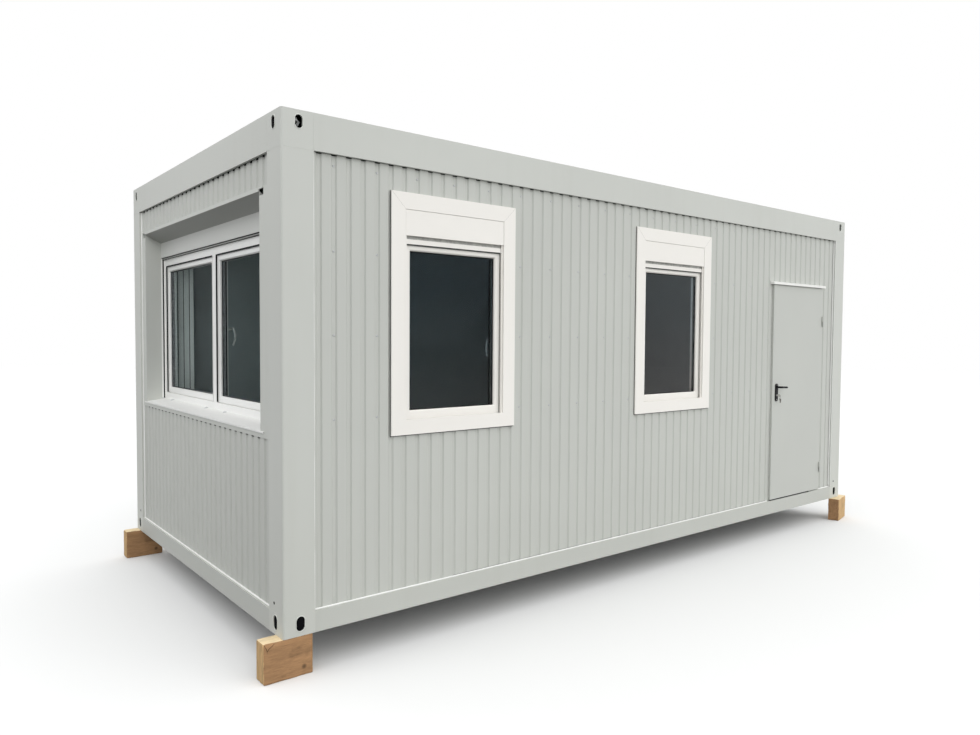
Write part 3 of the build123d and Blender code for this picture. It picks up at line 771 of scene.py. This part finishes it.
# Windows in the long side
MITRE_WIDTH = 0.0004
MITRE_ENDS = (0.003, 0.001)
TRIM_SHADOW = 0.0025
TRIM_SHADOW_FRONT = 0.015
LATH_GAP = 0.0012
LATH_E = (0.0283, 0.0291)
LATH_HEIGHTS = (0.0282, 0.0478)
PANE_THICKNESS = 0.004
SPACER_INSET = 0.002
SPACER_WIDTH = 0.0145
GASKET_WIDTH = 0.003
GASKET_INSET = 0.011
BRUSH_E = (0.029, 0.0376)
GUIDE_BRUSHES = ((0.0212, 0.0222), (0.036, 0.0369))
HANDLE_STEPS = 12
HANDLE_DROP = 0.052
HANDLE_BOW = (0.018, 0.01)
HANDLE_LENGTH = 0.125
HANDLE_ROSE = ((0.015, 0.0), (0.015, 0.008), (0.01, 0.012), (0.008, 0.04))


def window_details(name, trim_low, trim_high, shutter_low, centre):
    """Mitre lines at the top, a painted shadow along the trim's left and bottom outer edges, and a grey
    lath over the end slat that paints the shade under the shutter cover.
    """
    inner_u = around(centre, TRIM_OPENING)
    inner_z = trim_high.z - TRIM_TOP
    lines = Shape()
    for u_out, u_in in ((trim_low.x, inner_u[0]), (trim_high.x, inner_u[1])):
        along = Vector((u_in - u_out, 0, inner_z - trim_high.z)).normalized()
        across = Vector((-along.z, 0, along.x)) * MITRE_WIDTH
        first = Vector((u_out, trim_low.y, trim_high.z)) + along * MITRE_ENDS[0]
        last = Vector((u_in, trim_low.y, inner_z)) - along * MITRE_ENDS[1]
        lines.plate((first + across, last + across, last - across, first - across), 0.0003)
    lines.finish(f"{name}_mitres", "front", "mitre_grey_and_shade")
    # A black strip along the trim's left and bottom outer edges: a painted shadow.
    behind = Shape()
    e = (TRIM_SHADOW_FRONT, CLADDING_FACE - HAIR)
    behind.box((trim_low.x - TRIM_SHADOW / 2, trim_low.x), e, (trim_low.z - TRIM_SHADOW, trim_high.z))
    behind.box((trim_low.x, trim_high.x), e, (trim_low.z - 2 * TRIM_SHADOW, trim_low.z))
    behind.finish(f"{name}_trim_shadow", "front", "gasket")
    half = TRIM_OPENING / 2 - GUIDE_WIDTH - LATH_GAP
    # The lath is mid grey: painted shade in the recess under the shutter cover.
    lath = Shape()
    lath.box((centre - half, centre + half), LATH_E, [shutter_low.z + height for height in LATH_HEIGHTS])
    lath.finish(f"{name}_lath", "front", "mitre_grey_and_shade")


def insulating_glass(name, facade, low, high, replaced, look, spacer_look):
    """Two panes with a spacer between them."""
    panes = Shape()
    inner_e = (low.y + PANE_THICKNESS, high.y - PANE_THICKNESS)
    for e in ((low.y, inner_e[0]), (inner_e[1], high.y)):
        panes.box((low.x, high.x), e, (low.z, high.z))
    piece = panes.finish(f"{name}_panes", facade, look)
    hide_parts(replaced)
    spacer = Shape()
    spacer.ring(*drawn_in(low, high, SPACER_INSET), SPACER_WIDTH, inner_e)
    spacer.finish(f"{name}_spacer", facade, spacer_look)


def gaskets(name, facade, low, high, inner_e=None):
    """A black seal round the visible glass, and one on the sash's inner side if its depth is given."""
    seal = Shape()
    limits = drawn_in(low, high, GASKET_INSET)
    seal.ring(*limits, GASKET_WIDTH, (low.y - 0.002, low.y))
    if inner_e:
        seal.ring(*limits, GASKET_WIDTH, (high.y, inner_e))
    seal.finish(f"{name}_gasket", facade, "gasket", edge=0.0006)


def inside_handle_piece(name, facade, u, e, z, bend):
    """A curved window handle on the room side."""
    handle = Shape()
    handle.lathe((u, e, z), HANDLE_ROSE, axis=(0, 1, 0))
    path = []
    radii = []
    for i in range(HANDLE_STEPS + 1):
        share = i / HANDLE_STEPS
        curve = math.sin(share * math.pi)
        height = z + 0.01 - HANDLE_LENGTH * share
        path.append((u + bend * curve * HANDLE_BOW[0], e + 0.04 + HANDLE_BOW[1] * curve, height))
        radii.append(0.005 + 0.003 * math.sin(0.3 + share * 2.4))
    handle.tube(path, radii, 10)
    handle.finish(name, facade, "inside_handle", smooth=True)


def curtain_brushes(name, bottom, low, centre):
    """The brush under the shutter's end slat and those in its guides. Their dark grey is partly painted
    shade under the slat and in the guide slots.
    """
    half = TRIM_OPENING / 2 - GUIDE_WIDTH
    brush = Shape()
    brush.box(around(centre, 2 * half - 0.002), BRUSH_E, (low.z - 0.007, low.z + 0.002))
    for side in (-1, 1):
        edge = centre + side * half
        for e in GUIDE_BRUSHES:
            brush.box(sorted((edge, edge + side * 0.004)), e, (bottom, low.z))
    brush.finish(f"{name}_brushes", "front", "grey_seal_and_shade")


def front_window(name, glass, has_handle):
    """All small pieces of a window, and its inner seal and handle if they show."""
    trim_low, trim_high = facade_box("front", f"{name}_trim")
    shutter_low = facade_box("front", f"{name}_shutter")[0]
    sash_low, sash_high = facade_box("front", f"{name}_sash")
    low, high = facade_box("front", f"{name}_glass")
    centre = (trim_low.x + trim_high.x) / 2
    window_details(name, trim_low, trim_high, shutter_low, centre)
    insulating_glass(name, "front", low, high, f"{name}_glass", glass, "grey_seal_and_shade")
    gaskets(name, "front", low, high, sash_high.y if has_handle else None)
    curtain_brushes(name, trim_low.z + TRIM_BOTTOM, shutter_low, centre)
    if has_handle:
        z = (sash_low.z + sash_high.z) / 2 - HANDLE_DROP
        inside_handle_piece(f"{name}_inside_handle", "front", sash_high.x - 0.012, sash_high.y, z, -0.1)


front_window("window_left", "window_glass", True)
front_window("window_right", "right_glass", False)


# Niche in the left end
SEAL_FRONT = 0.0093
SEAL_HEAD_SHADE = 0.008
SEAL_FOOT = 0.004
NICHE_SEAL_DEPTH = 0.009
SILL_SCREWS = (-0.965, -0.158, 0.219)
SILL_SCREW_E = 0.145
SILL_SCREW_SCALE = (2.2, 1.6)
SLAT_BRUSH = 0.006
BRUSH_DROP = 0.004
POCKET_BRUSH = (0.0012, 0.024)
HEAD_BRUSH_E = (0.1905, 0.1928)
HEAD_STRIP_E = (0.1632, 0.18)
HEAD_STRIP_HEIGHT = 0.0125
REVEAL_INSET = 0.045
REVEAL_DEPTH = 0.145
REVEAL_JOINTS = (0.1, 0.42, 0.74)
REVEAL_JOINT_WIDTH = 0.006


def rebate_seal(name, low, high):
    """The black seal in the rebate round a niche sash, without its bottom, and a black strip on the sash's
    face under its head that paints the shade of the recess.
    """
    seal = Shape()
    e = (low.y - SEAL_FRONT, low.y + SASH_REBATE[1] - 0.0001)
    width = SASH_REBATE[0] - HAIR
    inner_u = (low.x + width, high.x - width)
    for u in ((low.x, inner_u[0]), (inner_u[1], high.x)):
        seal.box(u, e, (low.z + SEAL_FOOT, high.z))
    seal.box(inner_u, e, (high.z - width, high.z))
    # A black strip on the sash's face under its head: painted shade from the recess above.
    seal.box(inner_u, (e[0], low.y - 0.0001), (high.z - SEAL_HEAD_SHADE, high.z - width))
    seal.finish(f"{name}_rebate_seal", "left", "gasket")


def niche_window():
    """Panes, spacers, seals and handle of the two sashes, whose panes are one CAD node."""
    sash_low, sash_high = facade_box("left", "gable_window_sashes")
    glass_low, glass_high = facade_box("left", "gable_window_glass")
    middle = (sash_low.x + sash_high.x) / 2
    bar = sash_high.x - glass_high.x
    for side, name, outer in ((-1, "niche_left", sash_low.x), (1, "niche_right", sash_high.x)):
        u = sorted((middle + side * (NICHE_MULLION / 2 + SASH_GAP), outer))
        low = Vector((u[0] + bar, *glass_low.yz))
        high = Vector((u[1] - bar, *glass_high.yz))
        insulating_glass(name, "left", low, high, "gable_window_glass", "niche_glass", "spacer_grey")
        gaskets(name, "left", low, high, high.y + NICHE_SEAL_DEPTH if side > 0 else None)
        rebate_seal(name, Vector((u[0], *sash_low.yz)), Vector((u[1], *sash_high.yz)))
    handle_u = middle + NICHE_MULLION / 2 + 0.032
    handle_z = (sash_low.z + sash_high.z) / 2
    inside_handle_piece("niche_inside_handle", "left", handle_u, sash_high.y, handle_z, 1)


def sill_screws():
    """Screws along the back of the sill."""
    screws = Shape()
    wide, high = SILL_SCREW_SCALE
    head = [(radius * wide, height * high) for radius, height in SCREW_HEAD]
    z = SILL_FRONT[1] + SILL_SLOPE * (SILL_SCREW_E - SILL_FRONT[0])
    for u in SILL_SCREWS:
        screws.lathe((u, SILL_SCREW_E, z), head, axis=(0, -SILL_SLOPE, 1))
    screws.finish("sill_screws", "left", "clip_zinc", smooth=True)


def niche_brushes(niche, bottom, top):
    """Brushes beside the end slat, in the guides' slots and over the frame, and its strip. The brushes'
    black is partly painted shade in the slot under the shutter box and in the guides.
    """
    front, back = NICHE_SLAT_E
    brush = Shape()
    for e in ((front - SLAT_BRUSH, front - 0.0003), (back + 0.0003, back + SLAT_BRUSH)):
        brush.box((niche[0] + 0.001, niche[1] - 0.001), e, (top - BRUSH_DROP, top))
    brush.box(niche, HEAD_BRUSH_E, (NICHE_FRAME_TOP + 0.0005, top - 0.0005))
    for edge, side in zip(niche, (-1, 1)):
        u = sorted(edge + side * reach for reach in POCKET_BRUSH)
        brush.box(u, (front - 0.0008, back + 0.0008), (bottom, top - BRUSH_DROP))
    brush.finish("niche_brushes", "left", "gasket")
    head = Shape()
    head.box(niche, HEAD_STRIP_E, (NICHE_FRAME_TOP, NICHE_FRAME_TOP + HEAD_STRIP_HEIGHT))
    head.finish("niche_head_strip", "left", "niche_pvc", edge=0.001)


def niche_reveal(niche, top):
    """The boards on the room side of the niche window, with their joints."""
    window_low, window_high = facade_box("left", "gable_window_frame")
    reveal = Shape()
    joints = Shape()
    e = (window_high.y + HAIR, window_high.y + REVEAL_DEPTH)
    for edge, side in zip(niche, (-1, 1)):
        inner = edge - side * REVEAL_INSET
        reveal.box(sorted((inner, edge + side * NICHE_POCKET)), e, (window_low.z, top))
        for share in REVEAL_JOINTS:
            at = e[0] + (e[1] - e[0]) * share
            u = sorted((inner, inner - side * 0.0004))
            joints.box(u, (at, at + REVEAL_JOINT_WIDTH), (window_low.z, top))
    reveal.finish("niche_reveal", "left", "reveal_board", edge=0.002)
    joints.finish("niche_reveal_lines", "left", "grey_seal_and_shade")


def niche_details():
    """All small pieces of the niche beside its window."""
    guides_low, guides_high = facade_box("left", "gable_shutter_guides")
    niche = (guides_low.x + NICHE_POCKET, guides_high.x - NICHE_POCKET)
    sill_screws()
    niche_brushes(niche, guides_low.z, guides_high.z)
    niche_reveal(niche, guides_high.z)


niche_window()
niche_details()


# Door furniture
DOOR_WIDTH = 0.875
DOOR_HEIGHT = 1.993
DOOR_LIP = 0.015
LIP_SEAL = (0.001, 0.006)
FOOT_SHADE_SHARE = 0.8
LEVER_NECK = 0.0095
LEVER_ROSE = ((0.015, 0.0), (0.015, 0.004), (0.0115, 0.008), (LEVER_NECK, 0.01), (LEVER_NECK, 0.034))
LEVER_BEND = 0.016
LEVER_REACH = 0.09
LEVER_FALL = 0.004
LEVER_TIP = 0.008
PLATE_SCREW = ((0.0042, 0.0), (0.0042, 0.0006), (0.0036, 0.0012), (0.0008, 0.0014))
PLATE_SCREW_ENDS = (0.016, 0.012)
RING_RADIUS = 0.013
RING_WIRE = 0.0013
RING_OFF = 0.004
RING_DEPTH = 0.006
RING_STEPS = 28
TAG = ((0.01, 0.0), (0.013, 0.018), (0.012, 0.04))
TAG_RADII = (0.0085, 0.007, 0.003)


def door_lever(centre, plate_low, plate_high):
    """The bent lever on both sides of the leaf, with its spindle."""
    lever_low, lever_high = facade_box("front", "door_lever")
    middle = (lever_low.z + lever_high.z) / 2
    lever = Shape()
    for face, out, reach in ((plate_low.y, -1, lever_low.y), (plate_high.y, 1, lever_high.y)):
        tip = reach - out * LEVER_TIP
        lever.lathe((centre, face, middle), LEVER_ROSE, axis=(0, out, 0), steps=24)
        path = [(centre, face + out * 0.02, middle)]
        for i in range(10):
            angle = math.pi / 2 * i / 9
            u = centre + LEVER_BEND * (1 - math.cos(angle))
            path.append((u, tip - out * LEVER_BEND * (1 - math.sin(angle)), middle))
        for i in range(1, 11):
            share = i / 10
            path.append((centre + LEVER_BEND + LEVER_REACH * share, tip, middle - LEVER_FALL * share))
        radii = [LEVER_NECK] * 11
        radii += [LEVER_NECK - 0.001 * math.sin(i / 10 * math.pi) for i in range(1, 10)]
        lever.tube(path, [*radii, LEVER_TIP], 16)
    spindle = ((LEVER_NECK, 0.0), (LEVER_NECK, plate_high.y - plate_low.y))
    lever.lathe((centre, plate_low.y, middle), spindle, axis=(0, 1, 0), steps=24)
    piece = lever.finish("curved_lever", "front", "black_handle", body="lever", smooth=True)
    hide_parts("door_lever")


def plate_screws(centre, plate_low, plate_high):
    """Two screws in each of the lever's plates."""
    screws = Shape()
    for face, out in ((plate_low.y, -1), (plate_high.y, 1)):
        for z in (plate_low.z + PLATE_SCREW_ENDS[0], plate_high.z - PLATE_SCREW_ENDS[1]):
            screws.lathe((centre, face, z), PLATE_SCREW, axis=(0, out, 0))
    screws.finish("plate_screws", "front", "lock_metal", body="door", smooth=True)


def key_ring(centre):
    """The ring in the lock's key, with its tag."""
    lock_low, lock_high = facade_box("front", "door_lock")
    middle = (lock_low.z + lock_high.z) / 2
    e = lock_low.y + RING_DEPTH
    ring = Shape()
    path = []
    for cos, sin in circle(RING_STEPS):
        z = middle - RING_RADIUS - RING_OFF + RING_RADIUS * cos
        path.append((centre + RING_OFF + RING_RADIUS * sin, e, z))
    ring.tube(path, RING_WIRE, 8, closed=True)
    top = middle - 2 * RING_RADIUS - RING_OFF
    ring.tube([(centre + u, e, top - drop) for u, drop in TAG], TAG_RADII, 10, flat=0.3)
    ring.finish("key_ring", "front", "key_metal", body="door", smooth=True)


def door_seals():
    """The seal behind the leaf's lip, and painted shade in the gap under the leaf."""
    leaf = facade_box("front", "door_leaf")[0]
    near, far = (leaf.x + width for width in LIP_SEAL)
    top = leaf.z + DOOR_HEIGHT
    # A real seal, whose pale grey also paints light into the gap behind the leaf's lip.
    lip = Shape()
    e = (DOOR_LIP + HAIR, CLADDING_FACE - 0.0004)
    lip.box((near, far), e, (leaf.z + 0.004, top - LIP_SEAL[0]))
    lip.box((far, leaf.x + DOOR_WIDTH - 0.05), e, (top - LIP_SEAL[1], top - LIP_SEAL[0]))
    lip.finish("door_lip_seal", "front", "lip_seal", body="door")
    gap = Shape()
    u = (leaf.x + 0.002, leaf.x + DOOR_WIDTH * FOOT_SHADE_SHARE)
    gap.box(u, (0.002, 0.006), (leaf.z - 0.009, leaf.z - 0.001))
    gap.finish("door_foot_shade", "front", "painted_shade_black")


def door_details():
    """All small pieces of the door."""
    plate_low, plate_high = facade_box("front", "door_handle_plates")
    centre = (plate_low.x + plate_high.x) / 2
    door_lever(centre, plate_low, plate_high)
    plate_screws(centre, plate_low, plate_high)
    key_ring(centre)
    door_seals()


door_details()


# Posts: painted shade in small holes, and weld lines
HOLE_PLACES = (("left", 1), ("left", -1), ("front", 1), ("rear", -1))
HOLE_FROM_CORNER = 0.118
HOLE_HEIGHT = 0.17
HOLE_RADIUS = 0.009
RAIL_WELD = (0.0013, 0.0003)
POST_WELD = (0.0012, 0.0003)
WELD_DEPTH = 0.0006
WELD_INSET = 0.004


def post_hole_shade():
    """A dark disc of painted shade in the small hole low in some posts."""
    holes = Shape()
    for facade, side in HOLE_PLACES:
        count = len(holes.mesh.verts)
        place = (side * (HALF_SPANS[facade] - HOLE_FROM_CORNER), 0.0, HOLE_HEIGHT)
        holes.lathe(place, ((HOLE_RADIUS, -HAIR), (HOLE_RADIUS, HAIR)), steps=20)
        turn = FACADES["front"].inverted() @ FACADES[facade]
        bmesh.ops.transform(holes.mesh, matrix=turn, verts=list(holes.mesh.verts)[count:])
    holes.finish("post_hole_shade", "front", "painted_shade_black")


def weld_lines(facade):
    """A weld line at each casting, across the post and down beside the rail."""
    welds = Shape()
    for side in (-1, 1):
        far = side * HALF_SPANS[facade]
        near = side * PANEL_EDGES[facade]
        for z in (RAIL_TOP, ROOF_RAIL):
            path = [(near + (far - near) * (0.02 + 0.9 * (i / 40)), WELD_DEPTH, z) for i in range(41)]
            welds.tube(path, [uneven(*RAIL_WELD, u * 60, z, side) for u, e, z in path], 8)
        for low, high in ((0.0, RAIL_TOP), (ROOF_RAIL, ROOF_TOP)):
            low += WELD_INSET
            high -= WELD_INSET
            path = [(near, WELD_DEPTH, low + (high - low) * i / 30) for i in range(31)]
            welds.tube(path, [uneven(*POST_WELD, side, z * 60, 5) for u, e, z in path], 8)
    welds.finish(f"{facade}_welds", facade, "frame_paint", smooth=True)


post_hole_shade()
for facade in FACADES:
    weld_lines(facade)


# Timber blocks with worn edges, in their CAD places
BLOCK = (0.28, 0.105, 0.22)
BLOCK_CUTS = 23
OVERHANG = 0.108
TURN = math.radians(14)
TURNED_REACH = 0.09
WORN_WIDTH = 0.004
CHIP_DEPTH = 0.02
# The look each face takes by the axis it points along; the top's is lighter, a painted light.
BLOCK_FACES = {-1: (1, 0, 2), 1: (0, 1, 2)}
CRACKS = (
    ((0.004, 0.216), (0.01, 0.205), (0.016, 0.196), (0.02, 0.18), (0.019, 0.168), (0.024, 0.15)),
    ((0.02, 0.18), (0.03, 0.192), (0.046, 0.203), (0.06, 0.214)),
)


def worn_place(point, seed, chipped):
    """Where a point of a unit cube lies on a worn block."""
    place = Vector(point[i] * BLOCK[i] for i in range(3))
    near = sorted(0.5 * BLOCK[i] - abs(place[i]) for i in range(3))
    rough = noise.noise(place * 30 + seed)
    wear = max(0.0, WORN_WIDTH - near[1]) * (0.5 + 0.5 * rough)
    for i in range(3):
        if 0.5 * BLOCK[i] - abs(place[i]) < WORN_WIDTH:
            place[i] -= math.copysign(wear + 0.0006 * (1 + rough), place[i])
    if chipped:
        corner = Vector((place.x + BLOCK[0] / 2, place.y + BLOCK[1] / 2, BLOCK[2] / 2 - place.z))
        depth = CHIP_DEPTH - corner.x * 0.2 - corner.y * 0.9 - corner.z * 0.33
        if depth > 0:
            place.y += depth * 0.6
            place.x += depth * 0.25
    return place


def timber_block(name, sign_x, sign_y, angle, reach, chipped):
    """One sawn block with uneven faces and rubbed edges, its top in a lighter look that paints the light
    falling on it.
    """
    half_x = (BLOCK[0] * math.cos(angle) + BLOCK[1] * math.sin(angle)) / 2
    half_y = (BLOCK[0] * math.sin(angle) + BLOCK[1] * math.cos(angle)) / 2
    mesh = bmesh.new()
    bmesh.ops.create_cube(mesh, size=1)
    bmesh.ops.subdivide_edges(mesh, edges=mesh.edges[:], cuts=BLOCK_CUTS, use_grid_fill=True)
    for vertex in mesh.verts:
        vertex.co = worn_place(vertex.co, Vector((sign_x * 9, sign_y * 5, 0)), chipped)
    data = bpy.data.meshes.new(name)
    mesh.to_mesh(data)
    mesh.free()
    for look in ("wood_side", "wood_end", "wood_top_painted_light"):
        data.materials.append(looks[look])
    for polygon in data.polygons:
        normal = [abs(value) for value in polygon.normal]
        polygon.material_index = BLOCK_FACES[sign_x][normal.index(max(normal))]
    block = placed(name, data)
    centre_x = sign_x * (HALF_LENGTH + OVERHANG - half_x)
    centre_y = sign_y * (HALF_WIDTH + reach - half_y)
    turn = Matrix.Rotation(-sign_y * angle, 4, "Z")
    block.matrix_world = Matrix.Translation((centre_x, centre_y, BLOCK[2] / 2)) @ turn
    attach(block, "cabin")
    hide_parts("timber_blocks")


def timber_cracks():
    """Two cracks at the front left block's upper corner."""
    cracks = Shape()
    start = -(HALF_LENGTH + OVERHANG)
    for crack in CRACKS:
        path = [(start + u, 0.0016, z - BASE) for u, z in crack]
        cracks.tube(path, [0.0014 - 0.0008 * i / len(crack) for i in range(len(crack))], 6)
    cracks.finish("block_cracks", "front", "wood_crack")


timber_cracks()
timber_block("block_front_left", -1, -1, 0, 0, True)
timber_block("block_rear_left", -1, 1, 0, 0, False)
timber_block("block_front_right", 1, -1, TURN, TURNED_REACH, False)
timber_block("block_rear_right", 1, 1, TURN, TURNED_REACH, False)


# Floor, light and camera
FLOOR_HALF = 120
FLOOR_FADE = (7.0, 45.0)
FLOOR_SIDES = (-3.6, -2.6)
FLOOR_PALE = (0.8, 0.8, 0.79)
FLOOR_DIM_FRONT = (0.36, 0.36, 0.35)
FLOOR_DIM_END = (0.05, 0.05, 0.05)
SKY_LOW = (0.88, 0.89, 0.9)
SKY_HIGH = (1.5, 1.51, 1.53)
SKY_LOW_END = (0.25, 0.26, 0.28)
SKY_HIGH_END = (0.86, 0.87, 0.89)
END_FADE = (-1.2, -0.2)
SKY_FADE = (0.1, 0.45)
CAMERA_REACH = 400


def seen_ray(tree):
    """One number that is 1 for rays from the camera, a reflection or a pane."""
    rays = add(tree, "LightPath").outputs
    first = number(tree, "MAXIMUM", rays["Is Camera Ray"], rays["Is Glossy Ray"])
    return number(tree, "MAXIMUM", first, rays["Is Transmission Ray"])


def paving(tree):
    """Pale paving that throws back little light, and is seen to fade into white far away."""
    place = object_place(tree)
    seen = seen_ray(tree)
    along = add(tree, "SeparateXYZ", Vector=place).outputs[0]
    dim = mix(tree, span(tree, along, *FLOOR_SIDES), FLOOR_DIM_END, FLOOR_DIM_FRONT)
    far = span(tree, number(tree, "LENGTH", place, kind="VectorMath"), *FLOOR_FADE)
    blend = add(tree, "MixShader", Fac=number(tree, "MULTIPLY", far, seen))
    white = add(tree, "Emission", Color=WHITE, Strength=1.0)
    tree.links.new(tree.nodes["Principled BSDF"].outputs[0], blend.inputs[1])
    tree.links.new(white.outputs[0], blend.inputs[2])
    tree.links.new(blend.outputs[0], tree.nodes["Material Output"].inputs["Surface"])
    return {"Base_Color": mix(tree, seen, dim, FLOOR_PALE), "Roughness": 1.0, "Specular_IOR_Level": 0.0}


def studio_floor():
    """A wide floor under the cabin."""
    data = bpy.data.meshes.new("studio_floor")
    corners = [(x * FLOOR_HALF, y * FLOOR_HALF, 0) for x, y in ((-1, -1), (1, -1), (1, 1), (-1, 1))]
    data.from_pydata(corners, [], [(0, 1, 2, 3)])
    data.materials.append(shader("studio_floor", paving))
    placed("studio_floor", data)


def world_light():
    """A plain sky, dimmer towards the left end, that lights softly and is seen as white."""
    world = bpy.data.worlds.new("studio")
    bpy.context.scene.world = world
    world.use_nodes = True
    tree = world.node_tree
    direction = add(tree, "TexCoord").outputs["Generated"]
    parts = add(tree, "SeparateXYZ", Vector=direction).outputs
    height = span(tree, parts[2], 0, 1)
    near_end = span(tree, number(tree, "SUBTRACT", parts[0], parts[1]), *END_FADE)
    low = mix(tree, near_end, SKY_LOW_END, SKY_LOW)
    high = mix(tree, near_end, SKY_HIGH_END, SKY_HIGH)
    clear = mix(tree, span(tree, height, *SKY_FADE), low, high)
    light = mix(tree, near_end, clear, mix(tree, height, SKY_LOW, SKY_HIGH))
    sky = mix(tree, seen_ray(tree), light, WHITE)
    dress(tree, tree.nodes["Background"], Color=sky, Strength=1.0)


def lamp(name, kind, toward, energy, place=(0, 0, 0), **settings):
    """A lamp at a place that shines from a direction."""
    data = bpy.data.lights.new(name, kind)
    data.energy = energy
    for key, value in settings.items():
        setattr(data, key, value)
    thing = placed(name, data)
    thing.location = place
    thing.rotation_euler = Vector(toward).to_track_quat("Z", "Y").to_euler()
    thing.visible_camera = kind != "AREA"


def photo_camera():
    """The camera of the photograph."""
    data = bpy.data.cameras.new("photo_camera")
    data.sensor_width = SENSOR_WIDTH
    data.sensor_fit = "HORIZONTAL"
    data.lens = SENSOR_WIDTH * FOCAL_PIXELS / IMAGE_WIDTH
    data.clip_end = CAMERA_REACH
    camera = placed("photo_camera", data)
    aim = Matrix.Rotation(-CAMERA_YAW, 4, "Z") @ Matrix.Rotation(math.pi / 2 + CAMERA_PITCH, 4, "X")
    camera.matrix_world = Matrix.Translation(CAMERA_PLACE) @ aim @ Matrix.Rotation(CAMERA_ROLL, 4, "Z")
    bpy.context.scene.camera = camera


studio_floor()
world_light()
lamp("soft_key", "SUN", (0.05, -0.88, 0.38), 0.9, angle=math.radians(80))
lamp("end_light", "AREA", (-3.3, -0.6, 2.5), 46, (-6.3, -0.6, 4.9), size=2.5)
photo_camera()
bpy.context.scene.view_settings.view_transform = "Standard"
